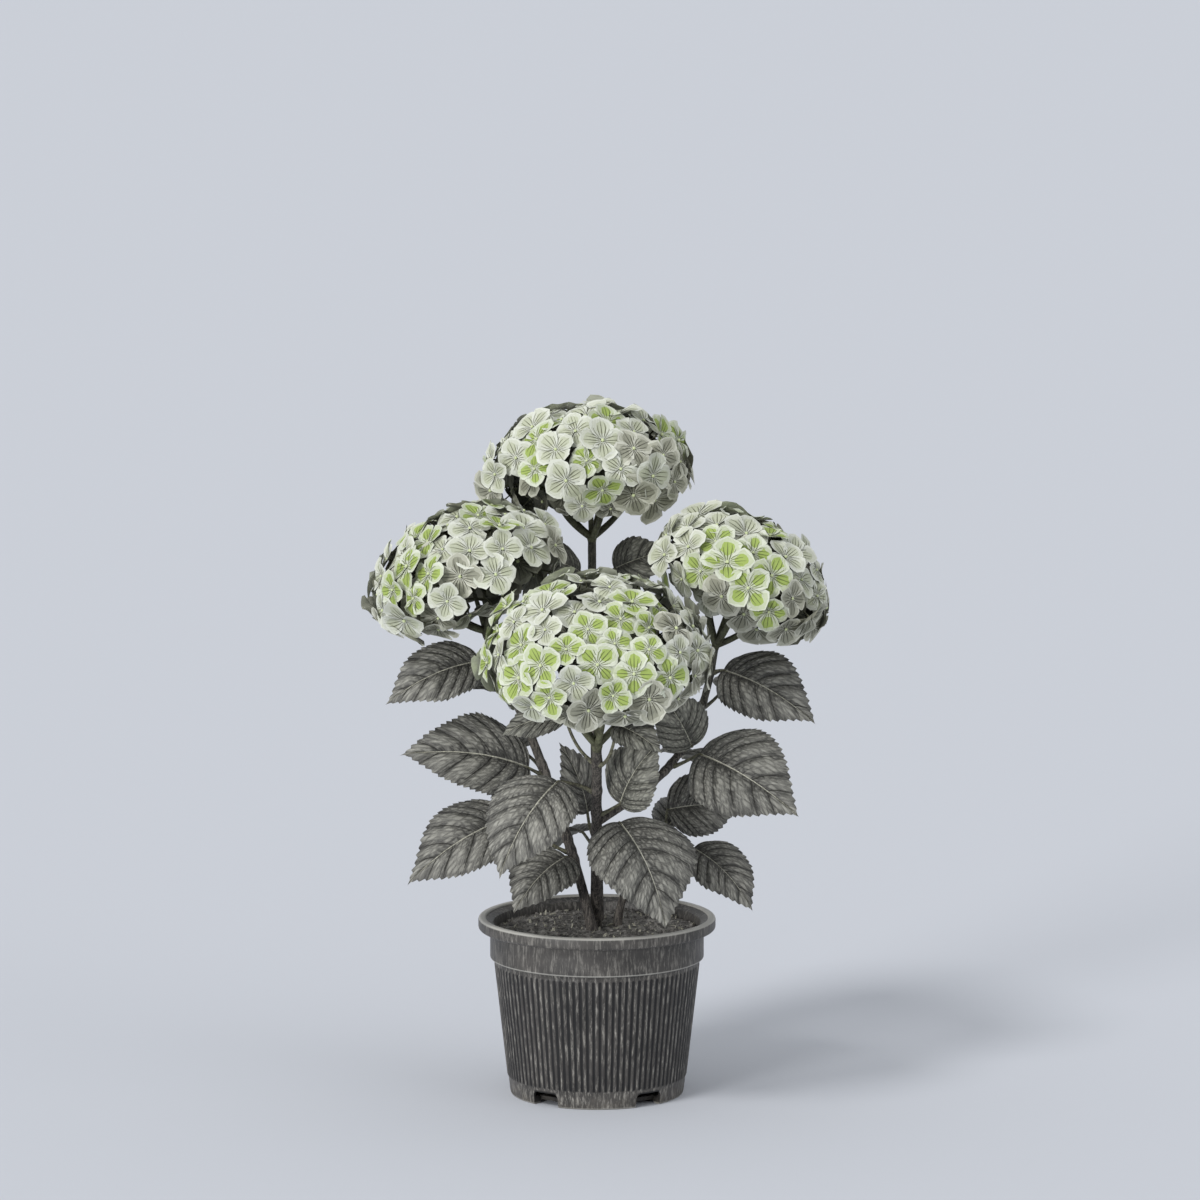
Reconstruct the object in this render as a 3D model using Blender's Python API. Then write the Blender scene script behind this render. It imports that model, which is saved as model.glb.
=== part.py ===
"""Hydrangea shrub in a nursery pot: pot, soil, canes, leaves and four mophead flower heads.

Metres, +Z up. The origin is the centre of the pot's flat underside. +X is the plant's right
and -Y its front. Every sub-part is one closed solid and stands GAP clear of its neighbours.
"""
import math
import random
from dataclasses import dataclass

import bmesh
import bpy
from mathutils import Matrix, Vector

# ------------------------------------------------------------------ driving dimensions
GAP = 0.0003                # air left between neighbouring solids
ROUND = 40                  # sides of the turned pot and soil

POT_HEIGHT = 0.160
LIP_RADIUS = 0.106          # outside of the rolled lip
LIP_DEPTH = 0.011
LIP_OPENING = 0.099         # inside radius at the very top
COLLAR_RADIUS = 0.0955      # stacking band under the lip
COLLAR_BOTTOM = 0.123
BODY_TOP_RADIUS = 0.0915    # body where it meets the collar
BASE_RADIUS = 0.0775
WALL = 0.0022
FLOOR_TOP = 0.0065
RECESS_DEPTH = 0.0030       # underside between the standing ring and the centre pad
RING_WIDTH = 0.010
PAD_RADIUS = 0.022
NOTCHES = 5                 # drain notches through the foot of the wall
NOTCH_WIDTH = 0.026
NOTCH_HEIGHT = 0.0125
NOTCH_TURN = math.radians(18)   # of the first one, from +X

SOIL_TOP = 0.1510           # flat middle of the soil, where the canes stand
SOIL_EDGE = 0.1475
SOIL_FLAT = 0.040

CANE_SIDES = 8
CANE_STEPS = 12
FOOT_FLARE = 1.25           # how much a cane widens where it leaves the soil
FLARE_HEIGHT = 0.012

PETIOLE_RADIUS = 0.0016
LEAF_THICKNESS = 0.014      # of the blade's length
LEAF_ARCH = 0.13            # rise of the midrib over its chord, of the length
LEAF_QUILT = 0.10           # lift of each half blade, of its half width
WIDEST = 0.37               # where a blade is widest, from its base
SHOULDER = 0.46             # the smaller, the fuller the blade's base
DRIP_START = 6              # the larger, the nearer to the tip a blade narrows to its drawn-out point
DRIP_PINCH = 0.55           # how far it narrows there

HEAD_TOP = 0.68             # dome height over a head's widest level, of its radius
HEAD_UNDER = 0.42           # depth under that level
CORE = 0.84                 # inner dome that the florets stand out of
FLORETS = 36
FLORET_RADIUS = 0.0200
LAST_FLORET = math.radians(130)  # how far round under the dome the florets go, from its top
SEPALS = 4
HEAD_ROOM = 1.03            # a floret nearer to another head than this level of it is left out
RAYS = 5                    # branches that fan out under a head
FORK_HEIGHT = 0.006         # of the rays over the foot of a head's stem


@dataclass
class Head:
    """A flower head: its widest level is centred at `centre` and its axis leans by `lean`."""
    centre: tuple
    radius: float
    lean: float             # degrees from upright
    toward: float           # compass side it leans to: 0 is +X, 90 is +Y
    stalk: float            # from the cane's tip to the underside of the dome
    seed: int

    def axis(self):
        tip, side = math.radians(self.lean), math.radians(self.toward)
        return Vector((math.sin(tip) * math.cos(side), math.sin(tip) * math.sin(side), math.cos(tip)))

    def frame(self):
        """World matrix with the head's axis as local Z."""
        turn = Vector((0, 0, 1)).rotation_difference(self.axis()).to_matrix().to_4x4()
        return Matrix.Translation(self.centre) @ turn

    def stem_way(self):
        """The stem under the dome leans half as far as the head."""
        return (self.axis() + Vector((0, 0, 1))).normalized()

    def foot(self):
        under = Vector(self.centre) - self.axis() * HEAD_UNDER * self.radius
        return under - self.stem_way() * self.stalk

    def level(self, point):
        """Below 1 inside the head's space, above 1 outside it."""
        local = self.frame().inverted() @ point
        depth = HEAD_TOP if local.z > 0 else HEAD_UNDER
        return Vector((local.x, local.y, local.z / depth)).length / self.radius


HEADS = {
    "top": Head((-0.008, 0.075, 0.548), 0.094, 4, 180, 0.022, 3),
    "left": Head((-0.114, -0.028, 0.470), 0.090, 21, 190, 0.018, 5),
    "right": Head((0.128, 0.005, 0.462), 0.084, 27, 352, 0.032, 8),
    "front": Head((0.000, -0.137, 0.415), 0.101, 15, 270, 0.044, 13),
}


@dataclass
class Cane:
    """A stem: it sets off along `start`, and arrives along `finish`."""
    foot: tuple
    start: tuple
    start_pull: float
    tip: tuple
    finish: tuple
    finish_pull: float
    foot_radius: float
    tip_radius: float

    def at(self, t):
        """Axis point a share t of the way along."""
        a, d = Vector(self.foot), Vector(self.tip)
        b = a + Vector(self.start).normalized() * self.start_pull
        c = d - Vector(self.finish).normalized() * self.finish_pull
        s = 1 - t
        return a * s**3 + b * (3 * s * s * t) + c * (3 * s * t * t) + d * t**3

    def radius(self, t):
        return self.foot_radius + (self.tip_radius - self.foot_radius) * t

    def share_at(self, height):
        """The share t at which the rising axis passes this height."""
        low, high = 0.0, 1.0
        for _ in range(30):
            middle = (low + high) / 2
            if self.at(middle).z < height:
                low = middle
            else:
                high = middle
        return low


CANE_NODES = {"front": "cane_front", "left": "cane_left", "top": "cane_top",
              "right": "bough_right", "young": "cane_young"}
SOIL_LINE = SOIL_TOP + GAP
BOUGH_HEIGHT = 0.262        # where the right bough leaves the front cane
YOUNG_TIP = (0.058, -0.020, 0.238)


def canes():
    """The canes by name; each one's tip is the foot of the head that it carries."""
    front = Cane((-0.001, -0.006, SOIL_LINE), (0, -0.45, 1), 0.060,
                 HEADS["front"].foot(), (0, -0.55, 1), 0.060, 0.0049, 0.0042)
    left = Cane((-0.004, -0.028, SOIL_LINE), (-0.2, 0.05, 1), 0.080,
                HEADS["left"].foot(), (-0.5, -0.05, 1), 0.070, 0.0044, 0.0036)
    top = Cane((0.001, 0.014, SOIL_LINE), (0, 0.1, 1), 0.100,
               HEADS["top"].foot(), (0, 0.2, 1), 0.100, 0.0048, 0.0037)
    fork = front.share_at(BOUGH_HEIGHT)
    bark = front.at(fork) + Vector((front.radius(fork) + GAP, 0, 0))
    right = Cane(bark, (0.87, 0.1, 0.5), 0.075,
                 HEADS["right"].foot(), (0.15, 0.15, 0.97), 0.080, 0.0036, 0.0032)
    young = Cane((0.018, -0.004, SOIL_LINE), (0.1, 0, 1), 0.035,
                 YOUNG_TIP, (0.8, -0.3, 1), 0.035, 0.0036, 0.0026)
    return {"front": front, "left": left, "top": top, "right": right, "young": young}


@dataclass
class Leaf:
    """A leaf on a cane; turns are compass angles, rise and pitch are degrees above level."""
    cane: str
    height: float           # where its stalk leaves the cane
    turn: float             # way the blade points
    length: float
    pitch: float            # of the blade, base to tip
    stalk: float = 0.030
    rise: float = 25
    stalk_turn: float = None
    face: float = 0         # how far the blade's face is rolled to the front
    width: float = 0.62     # of the length


LEAVES = {
    "leaf_left_upper": Leaf("left", 0.394, 197, 0.094, -22, 0.014, 8, 195, 42, 0.66),
    "leaf_left_middle": Leaf("left", 0.294, 196, 0.120, 8, 0.014, 28, 210, 50, 0.68),
    "leaf_left_lower": Leaf("left", 0.224, 194, 0.112, -31, 0.058, 34, 187, 42, 0.66),
    "leaf_left_low": Leaf("left", 0.216, 221, 0.076, -36, 0.010, 30, 238, 20, 0.82),
    "leaf_front_left": Leaf("front", 0.290, 220, 0.104, -50, 0.031, 18, 189, 20, 0.80),
    "leaf_front_right": Leaf("front", 0.250, 311, 0.106, -55, 0.024, 28, 320, 10, 0.98),
    "leaf_right_low": Leaf("young", 0.218, 329, 0.080, -40, 0.044, 14, 339, 25, 0.72),
    "leaf_young_tip": Leaf("young", 0.236, 18, 0.068, -2, 0.024, 66, 60, 55, 0.90),
    "leaf_right_middle": Leaf("right", 0.305, 334, 0.108, -27, 0.025, 26, 356, 48, 0.82),
    "leaf_right_inner": Leaf("right", 0.316, 186, 0.060, 60, 0.014, 20, 300, 75, 0.85),
    "leaf_right_upper": Leaf("right", 0.380, 337, 0.098, -26, 0.008, 14, 352, 45, 0.72),
    "leaf_centre_upright": Leaf("front", 0.268, 344, 0.070, 57, 0.022, 30, 330, 65, 0.88),
    "leaf_centre_back": Leaf("top", 0.225, 191, 0.070, 68, 0.031, 61, 244, 70, 0.55),
    "leaf_under_front_right": Leaf("front", 0.318, 319, 0.056, -20, 0.044, 60, 309, 40),
    "leaf_under_front_left": Leaf("front", 0.319, 170, 0.060, -19, 0.046, 60, 176, 45),
    "leaf_top_right": Leaf("top", 0.445, 10, 0.054, 16, 0.027, 47, 330, 60, 0.80),
    "leaf_top_left": Leaf("top", 0.445, 198, 0.052, 15, 0.026, 44, 242, 50, 0.80),
    "leaf_back_right_upper": Leaf("top", 0.400, 60, 0.110, -10),
    "leaf_back_left_upper": Leaf("top", 0.395, 125, 0.110, -12),
    "leaf_back_left_high": Leaf("left", 0.350, 125, 0.100, -8),
    "leaf_back_right_high": Leaf("right", 0.352, 50, 0.095, -8),
    "leaf_back_middle": Leaf("top", 0.330, 88, 0.115, -15),
    "leaf_back_left_middle": Leaf("left", 0.300, 130, 0.110, -20),
    "leaf_back_left_lower": Leaf("left", 0.235, 125, 0.105, -30),
    "leaf_back_right_middle": Leaf("right", 0.300, 62, 0.105, -25),
    "leaf_back_right_lower": Leaf("young", 0.226, 60, 0.095, 5),
    "leaf_back_low_right": Leaf("top", 0.205, 65, 0.090, -22),
    "leaf_back_low_left": Leaf("top", 0.215, 115, 0.095, -25),
}


# ------------------------------------------------------------------ scene and materials
def clear_scene():
    for item in list(bpy.data.objects):
        bpy.data.objects.remove(item)


def material(name, colour, roughness):
    found = bpy.data.materials.get(name)
    if found:
        return found
    made = bpy.data.materials.new(name)
    made.use_nodes = True
    shader = made.node_tree.nodes["Principled BSDF"]
    shader.inputs["Base Color"].default_value = (*colour, 1)
    shader.inputs["Roughness"].default_value = roughness
    shader.inputs["Metallic"].default_value = 0.0
    return made


MATERIALS = {
    "pot": ((0.030, 0.030, 0.033), 0.50),
    "soil": ((0.035, 0.025, 0.018), 0.95),
    "cane": ((0.075, 0.060, 0.045), 0.75),
    "leaf": ((0.070, 0.080, 0.045), 0.60),
    "head": ((0.620, 0.700, 0.450), 0.65),
}


def add_object(name, mesh, kind, sharp_angle=30):
    """Link a mesh under its node name, faces out, with its own material."""
    work = bmesh.new()
    work.from_mesh(mesh)
    bmesh.ops.recalc_face_normals(work, faces=work.faces)
    work.to_mesh(mesh)
    work.free()
    mesh.shade_smooth()
    mesh.set_sharp_from_angle(angle=math.radians(sharp_angle))
    item = bpy.data.objects.new(name, mesh)
    bpy.context.collection.objects.link(item)
    colour, roughness = MATERIALS[kind]
    mesh.materials.clear()
    mesh.materials.append(material(kind, colour, roughness))
    return item


# ------------------------------------------------------------------ shapes
def mesh_of(name, points, faces):
    mesh = bpy.data.meshes.new(name)
    mesh.from_pydata([tuple(point) for point in points], [], faces)
    return mesh


def loft(name, rings, tip=None):
    """Closed skin over rings of equal count, flat at the first and flat or pointed at the last."""
    count = len(rings[0])
    points = [point for ring in rings for point in ring]
    faces = [tuple(range(count - 1, -1, -1))]
    for ring in range(len(rings) - 1):
        for side in range(count):
            a = ring * count + side
            b = ring * count + (side + 1) % count
            faces.append((a, b, b + count, a + count))
    last = (len(rings) - 1) * count
    if tip is None:
        faces.append(tuple(range(last, last + count)))
    else:
        points.append(tip)
        faces += [(last + side, last + (side + 1) % count, len(points) - 1) for side in range(count)]
    return mesh_of(name, points, faces)


def turned(name, profile):
    """Solid of revolution; the profile runs from the axis round to the axis again."""
    rings = [[Vector((r * math.cos(a), r * math.sin(a), z))
              for a in (math.tau * k / ROUND for k in range(ROUND))] for r, z in profile[1:-1]]
    count = len(rings)
    points = [point for ring in rings for point in ring]
    first, last = len(points), len(points) + 1
    points += [Vector((0, 0, profile[0][1])), Vector((0, 0, profile[-1][1]))]
    faces = []
    for side in range(ROUND):
        following = (side + 1) % ROUND
        faces.append((first, following, side))
        faces.append((last, (count - 1) * ROUND + side, (count - 1) * ROUND + following))
        for ring in range(count - 1):
            a, b = ring * ROUND + side, ring * ROUND + following
            faces.append((a, b, b + ROUND, a + ROUND))
    return mesh_of(name, points, faces)


def slide_to_plane(offset, along, normal):
    """Move an offset along the tube until it lies in the plane with this normal."""
    return offset - along * (offset.dot(normal) / along.dot(normal))


def tube_rings(path, radii, sides, first_cut=None, last_cut=None):
    """Round rings along a path, without twist; a cut is the normal of a slanted end."""
    cuts = {0: first_cut, len(path) - 1: last_cut}
    rings = []
    across = (path[1] - path[0]).orthogonal().normalized()
    for index, centre in enumerate(path):
        ahead = path[min(index + 1, len(path) - 1)] - path[max(index - 1, 0)]
        along = ahead.normalized()
        across = (across - along * across.dot(along)).normalized()
        other = along.cross(across)
        ring = []
        for k in range(sides):
            angle = math.tau * k / sides
            offset = (across * math.cos(angle) + other * math.sin(angle)) * radii[index]
            if cuts.get(index):
                offset = slide_to_plane(offset, along, cuts[index])
            ring.append(centre + offset)
        rings.append(ring)
    return rings


# ------------------------------------------------------------------ pot and soil
def inner_radius(height):
    """Inside of the pot's wall at this height."""
    if height > COLLAR_BOTTOM:
        return COLLAR_RADIUS - WALL - 0.0018
    share = height / COLLAR_BOTTOM
    return BASE_RADIUS + (BODY_TOP_RADIUS - BASE_RADIUS) * share - WALL


def make_pot():
    lip_bottom = POT_HEIGHT - LIP_DEPTH
    ring_inside = BASE_RADIUS - RING_WIDTH
    throat = inner_radius(POT_HEIGHT)
    profile = [
        (0, 0), (PAD_RADIUS, 0), (PAD_RADIUS + 0.002, RECESS_DEPTH),
        (ring_inside, RECESS_DEPTH), (ring_inside + 0.002, 0),
        (BASE_RADIUS - 0.002, 0), (BASE_RADIUS, 0.002),
        (BODY_TOP_RADIUS, COLLAR_BOTTOM - 0.001),
        (COLLAR_RADIUS - 0.001, COLLAR_BOTTOM), (COLLAR_RADIUS, COLLAR_BOTTOM + 0.002),
        (COLLAR_RADIUS, lip_bottom), (LIP_RADIUS - 0.001, lip_bottom),
        (LIP_RADIUS, lip_bottom + 0.0015), (LIP_RADIUS, POT_HEIGHT - 0.0025),
        (LIP_RADIUS - 0.0025, POT_HEIGHT), (LIP_OPENING + 0.0015, POT_HEIGHT),
        (LIP_OPENING, POT_HEIGHT - 0.0015), (throat, SOIL_TOP),
        (throat, COLLAR_BOTTOM + 0.001), (inner_radius(COLLAR_BOTTOM), COLLAR_BOTTOM - 0.003),
        (inner_radius(FLOOR_TOP), FLOOR_TOP), (0, FLOOR_TOP),
    ]
    pot = add_object("pot", turned("pot", profile), "pot")
    notch = pot.modifiers.new("drain notches", "BOOLEAN")
    notch.operation = "DIFFERENCE"
    notch.object = make_notch_cutter()
    return pot


def make_notch_cutter():
    """One box for each drain notch, through the foot of the wall and under the floor's edge."""
    work = bmesh.new()
    reach = RING_WIDTH + 0.006
    for index in range(NOTCHES):
        turn = Matrix.Rotation(math.tau * index / NOTCHES + NOTCH_TURN, 4, "Z")
        place = Matrix.Translation((BASE_RADIUS + 0.004 - reach / 2, 0, NOTCH_HEIGHT / 2 - 0.001))
        size = Matrix.Diagonal((reach, NOTCH_WIDTH, NOTCH_HEIGHT + 0.002, 1))
        bmesh.ops.create_cube(work, size=1, matrix=turn @ place @ size)
    mesh = bpy.data.meshes.new("notch_cutter")
    work.to_mesh(mesh)
    work.free()
    cutter = bpy.data.objects.new("notch_cutter", mesh)
    bpy.context.collection.objects.link(cutter)
    cutter.hide_render = True
    cutter.display_type = "WIRE"
    return cutter


def make_soil():
    """Potting soil that fills the pot, GAP clear of the wall, to just under the rim."""
    bottom = max(FLOOR_TOP, NOTCH_HEIGHT) + GAP
    throat = inner_radius(POT_HEIGHT) - GAP
    profile = [
        (0, bottom), (inner_radius(bottom) - GAP, bottom),
        (inner_radius(COLLAR_BOTTOM) - GAP, COLLAR_BOTTOM - 0.003),
        (throat, COLLAR_BOTTOM + 0.001), (throat, SOIL_EDGE),
        (throat - 0.020, SOIL_EDGE + 0.0015), (SOIL_FLAT, SOIL_TOP), (0, SOIL_TOP),
    ]
    return add_object("soil", turned("soil", profile), "soil")


# ------------------------------------------------------------------ canes
def make_cane(name, cane, first_cut, last_cut):
    """Tapering limb; one that stands on the soil has a level foot and a flare."""
    shares = [k / CANE_STEPS for k in range(CANE_STEPS + 1)]
    path = [cane.at(t) for t in shares]
    radii = [cane.radius(t) for t in shares]
    if first_cut.z == 1:
        flare = FLARE_HEIGHT / (path[-1] - path[0]).length
        path.insert(1, cane.at(flare))
        radii.insert(1, cane.radius(flare))
        radii[0] *= FOOT_FLARE
    rings = tube_rings(path, radii, CANE_SIDES, first_cut, last_cut)
    return add_object(name, loft(name, rings), "cane", 60)


# ------------------------------------------------------------------ leaves
BLADE_STATIONS = (0.05, 0.14, 0.26, 0.40, 0.55, 0.70, 0.84, 0.94)
STALK_STATIONS = (0.0, 0.35, 0.70, 1.0)
# Corners of a section in turn: left edge, left, midrib, right, right edge, then back underneath.
SECTION = ((-1, 0), (-0.5, 1), (0, 1), (0.5, 1), (1, 0), (0.5, -1), (0, -1), (-0.5, -1))


def compass(turn, rise):
    turn, rise = math.radians(turn), math.radians(rise)
    level = math.cos(rise)
    return Vector((math.cos(turn) * level, math.sin(turn) * level, math.sin(rise)))


def blade_outline(share):
    """Half width of an ovate, pointed blade at this share of its length; 1 where it is widest."""
    taper = SHOULDER * (1 - WIDEST) / WIDEST
    peak = WIDEST**SHOULDER * (1 - WIDEST)**taper
    return share**SHOULDER * (1 - share)**taper * (1 - share**DRIP_START)**DRIP_PINCH / peak


def stalk_line(leaf, cane):
    """Where a leaf's stalk leaves the bark, which way is outward there, and the blade's base."""
    stalk_turn = leaf.turn if leaf.stalk_turn is None else leaf.stalk_turn
    share = cane.share_at(leaf.height)
    outward = compass(stalk_turn, 0)
    along_cane = (cane.at(min(share + 0.01, 1)) - cane.at(share)).normalized()
    outward = (outward - along_cane * outward.dot(along_cane)).normalized()
    start = cane.at(share) + outward * (cane.radius(share) + GAP)
    return start, outward, start + compass(stalk_turn, leaf.rise) * leaf.stalk


def make_leaf(name, leaf, cane):
    """Stalk and blade as one loft that starts GAP off the cane's bark."""
    start, outward, base = stalk_line(leaf, cane)
    chord = compass(leaf.turn, leaf.pitch)
    side = chord.cross(Vector((0, 0, 1))).normalized()
    normal = side.cross(chord)
    roll = math.radians(leaf.face) * (1 if side.y < 0 else -1)
    side, normal = (side * math.cos(roll) - normal * math.sin(roll),
                    normal * math.cos(roll) + side * math.sin(roll))
    bend = start + outward * leaf.stalk * 0.35 + Vector((0, 0, leaf.stalk * 0.25))

    rings = []
    for t in STALK_STATIONS:
        centre = start * (1 - t)**2 + bend * (2 * t * (1 - t)) + base * t * t
        along = ((bend - start) * (1 - t) + (base - bend) * t).normalized()
        flat = (side - along * side.dot(along)).normalized()
        up = flat.cross(along)
        ring = []
        for k in range(8):
            angle = math.pi - math.tau * k / 8
            offset = (flat * math.cos(angle) + up * math.sin(angle)) * PETIOLE_RADIUS
            if t == 0:
                offset = slide_to_plane(offset, along, outward)
            ring.append(centre + offset)
        rings.append(ring)
    for t in BLADE_STATIONS:
        centre = base + chord * leaf.length * t + normal * leaf.length * LEAF_ARCH * 4 * t * (1 - t)
        along = (chord + normal * LEAF_ARCH * 4 * (1 - 2 * t)).normalized()
        up = side.cross(along)
        half = leaf.length * leaf.width / 2 * blade_outline(t)
        thick = max(leaf.length * LEAF_THICKNESS, 2 * PETIOLE_RADIUS * (1 - 6 * t)) / 2
        ring = []
        for x, level in SECTION:
            lift = LEAF_QUILT * half * (1 if abs(x) == 0.5 else 0)
            ring.append(centre + side * x * half + up * (lift + level * thick))
        rings.append(ring)
    return add_object(name, loft(name, rings, base + chord * leaf.length), "leaf", 60)


# ------------------------------------------------------------------ flower heads
def floret_mesh(point, outward, spin, radius, depth):
    """Four joined sepals on a short stem that runs `depth` back into the head."""
    across = outward.orthogonal().normalized()
    across.rotate(Matrix.Rotation(spin, 3, outward))
    other = outward.cross(across)
    corners = []
    for sepal in range(SEPALS):
        for turn, reach, lift in ((0, 0.50, -0.02), (0.30, 0.98, 0.10), (0.70, 0.98, 0.10)):
            angle = math.tau * (sepal + turn) / SEPALS
            spot = across * math.cos(angle) + other * math.sin(angle)
            corners.append(point + spot * radius * reach + outward * radius * lift)
    rim = len(corners)
    neck = [point - outward * radius * 0.20
            + (across * math.cos(a) + other * math.sin(a)) * radius * 0.16
            for a in (math.tau * (sepal + 0.5) / SEPALS for sepal in range(SEPALS))]
    points = corners + neck + [point - outward * radius * 0.06, point - outward * depth]
    top, root = rim + SEPALS, rim + SEPALS + 1
    faces = []
    for k in range(rim):
        following = (k + 1) % rim
        faces.append((top, k, following))
        faces.append((rim + k // 3, following, k))
    for sepal in range(SEPALS):
        after = (sepal + 1) % SEPALS
        faces.append((rim + sepal, rim + after, after * 3))
        faces.append((rim + after, rim + sepal, root))
    return mesh_of("floret", points, faces)


def dome_depth(angle):
    """Height of the upper dome or of the underside, of the radius, at this angle from the top."""
    return HEAD_TOP if angle < math.pi / 2 else HEAD_UNDER


def dome_angles(count):
    """Angles from the top of a dome that share its surface out evenly among the florets."""
    steps = 400
    angles = [LAST_FLORET * (k + 0.5) / steps for k in range(steps)]
    areas = [math.sin(a) * math.hypot(math.cos(a), dome_depth(a) * math.sin(a)) for a in angles]
    share, found = 0.0, []
    for angle, area in zip(angles, areas):
        share += area / sum(areas)
        while len(found) < count and share > (len(found) + 0.5) / count:
            found.append(angle)
    return found


def dome_points(head):
    """Even spiral of places over the dome and round its underside, with the way each faces."""
    turn = math.pi * (3 - math.sqrt(5))
    frame = head.frame()
    for index, angle in enumerate(dome_angles(FLORETS)):
        x = math.sin(angle) * math.cos(index * turn)
        y = math.sin(angle) * math.sin(index * turn)
        depth = dome_depth(angle)
        place = Vector((x, y, math.cos(angle) * depth)) * head.radius
        facing = Vector((x, y, math.cos(angle) / depth)).normalized()
        yield frame @ place, (frame.to_3x3() @ facing).normalized()


def clear_of_others(name, point, outward, radius, limbs):
    """True if a floret here keeps out of the other heads and off the canes."""
    across = outward.orthogonal().normalized() * radius
    other_way = outward.cross(across)
    for other, head in HEADS.items():
        reach = [point + across, point - across, point + other_way, point - other_way]
        if other != name and min(head.level(spot) for spot in reach) < HEAD_ROOM:
            return False
    for limb in limbs:
        if any((limb.at(t / 40) - point).length < radius * 0.8 for t in range(41)):
            return False
    return True


def make_head(name, head, limbs):
    """Stem, fanned rays, inner dome and florets, joined by one union."""
    rng = random.Random(head.seed)
    frame = head.frame()
    way = head.stem_way()
    foot = head.foot() + way * GAP
    fork = foot + way * FORK_HEIGHT
    stem_radius = limbs[name].tip_radius
    pieces = [loft("stem", tube_rings([foot, fork, fork + way * head.stalk],
                                      [stem_radius, stem_radius, stem_radius * 0.8], 8))]
    for ray in range(RAYS):
        angle = math.tau * (ray + rng.uniform(-0.15, 0.15)) / RAYS
        spread = Vector((math.cos(angle), math.sin(angle), 0)) * head.radius * 0.36
        end = frame @ (spread + Vector((0, 0, -HEAD_UNDER * 0.62 * head.radius)))
        root = fork - way * 0.002
        bend = root.lerp(end, 0.5) + (frame.to_3x3() @ spread) * 0.12
        pieces.append(loft("ray", tube_rings([root, bend, end], [0.0022, 0.0020, 0.0018], 6)))
    work = bmesh.new()
    bmesh.ops.create_icosphere(work, subdivisions=2, radius=head.radius * CORE)
    for vertex in work.verts:
        vertex.co.z *= HEAD_TOP if vertex.co.z > 0 else HEAD_UNDER
        vertex.co = frame @ vertex.co
    core = bpy.data.meshes.new("core")
    work.to_mesh(core)
    work.free()
    for point, outward in dome_points(head):
        radius = FLORET_RADIUS * rng.uniform(0.94, 1.06)
        spin = rng.uniform(0, math.tau)
        seat = point - outward * radius * 0.16
        if clear_of_others(name, point, outward, radius, limbs.values()):
            pieces.append(floret_mesh(seat, outward, spin, radius, head.radius * 0.20))

    parts = bpy.data.collections.new("pieces of head_" + name)
    bpy.context.scene.collection.children.link(parts)
    for piece in pieces:
        parts.objects.link(bpy.data.objects.new("piece", piece))
    whole = add_object("head_" + name, core, "head", 40)
    union = whole.modifiers.new("union", "BOOLEAN")
    union.operation = "UNION"
    union.operand_type = "COLLECTION"
    union.collection = parts
    bpy.context.view_layer.update()
    joined = bpy.data.meshes.new_from_object(whole.evaluated_get(bpy.context.evaluated_depsgraph_get()))
    bpy.data.objects.remove(whole)
    for item in list(parts.objects):
        bpy.data.objects.remove(item)
    bpy.data.collections.remove(parts)
    return add_object("head_" + name, joined, "head", 40)


# ------------------------------------------------------------------ the plant
def main():
    clear_scene()
    make_pot()
    make_soil()
    limbs = canes()
    for name, cane in limbs.items():
        first_cut = Vector((1, 0, 0)) if name == "right" else Vector((0, 0, 1))
        last_cut = HEADS[name].stem_way() if name in HEADS else None
        make_cane(CANE_NODES[name], cane, first_cut, last_cut)
    for name, leaf in LEAVES.items():
        make_leaf(name, leaf, limbs[leaf.cane])
    for name, head in HEADS.items():
        make_head(name, head, limbs)


main()
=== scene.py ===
import math
import random
from contextlib import contextmanager
from dataclasses import dataclass

import bmesh
import bpy
import numpy as np
from mathutils import Matrix, Vector, noise


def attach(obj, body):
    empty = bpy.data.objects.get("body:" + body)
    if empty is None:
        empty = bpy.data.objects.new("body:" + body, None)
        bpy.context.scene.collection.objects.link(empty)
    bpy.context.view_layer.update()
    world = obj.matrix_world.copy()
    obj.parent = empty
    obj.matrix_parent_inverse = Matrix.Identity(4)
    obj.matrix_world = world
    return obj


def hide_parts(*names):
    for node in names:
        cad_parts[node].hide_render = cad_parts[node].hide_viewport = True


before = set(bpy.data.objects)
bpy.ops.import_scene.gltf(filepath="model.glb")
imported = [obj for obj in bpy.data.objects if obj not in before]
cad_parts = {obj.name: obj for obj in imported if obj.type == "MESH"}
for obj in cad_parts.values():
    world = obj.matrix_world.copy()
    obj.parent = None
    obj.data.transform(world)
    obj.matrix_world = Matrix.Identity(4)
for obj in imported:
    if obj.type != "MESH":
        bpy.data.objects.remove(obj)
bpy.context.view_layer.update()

# ------------------------------------------------------------------ the pot
# A 21 cm nursery pot, injection moulded in one shot of charcoal polypropylene: a rolled lip, a plain
# stacking collar, fine upright ribs down the body and five drain notches through its foot.
POT_HEIGHT = 0.160
LIP_RADIUS = 0.106
LIP_DEPTH = 0.011
LIP_OPENING = 0.099
LIP_ROUND = 0.0028          # radius of the lip's rolled edge
COLLAR_RADIUS = 0.0955
COLLAR_BOTTOM = 0.123
BODY_TOP_RADIUS = 0.0915
BASE_RADIUS = 0.0775
WALL = 0.0022
THROAT_STEP = 0.0018        # how far the throat stands in from the collar's inside
FOOT_ROUND = 0.0018         # radii of the rounded edges: foot, collar, opening and notch
COLLAR_ROUND = 0.0014
OPENING_ROUND = 0.0020
NOTCH_ROUND = 0.004
FLOOR_TOP = 0.0065
RECESS_DEPTH = 0.0030
RING_WIDTH = 0.010
PAD_RADIUS = 0.022
NOTCHES = 5
NOTCH_WIDTH = 0.026
NOTCH_HEIGHT = 0.0125
NOTCH_TURN = math.radians(18)   # of the first one, from +X
NOTCH_REACH = RING_WIDTH + 0.006
NOTCH_OUTSIDE = 0.004       # how far its cutter stands out of the foot
RIBS = 96
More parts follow.
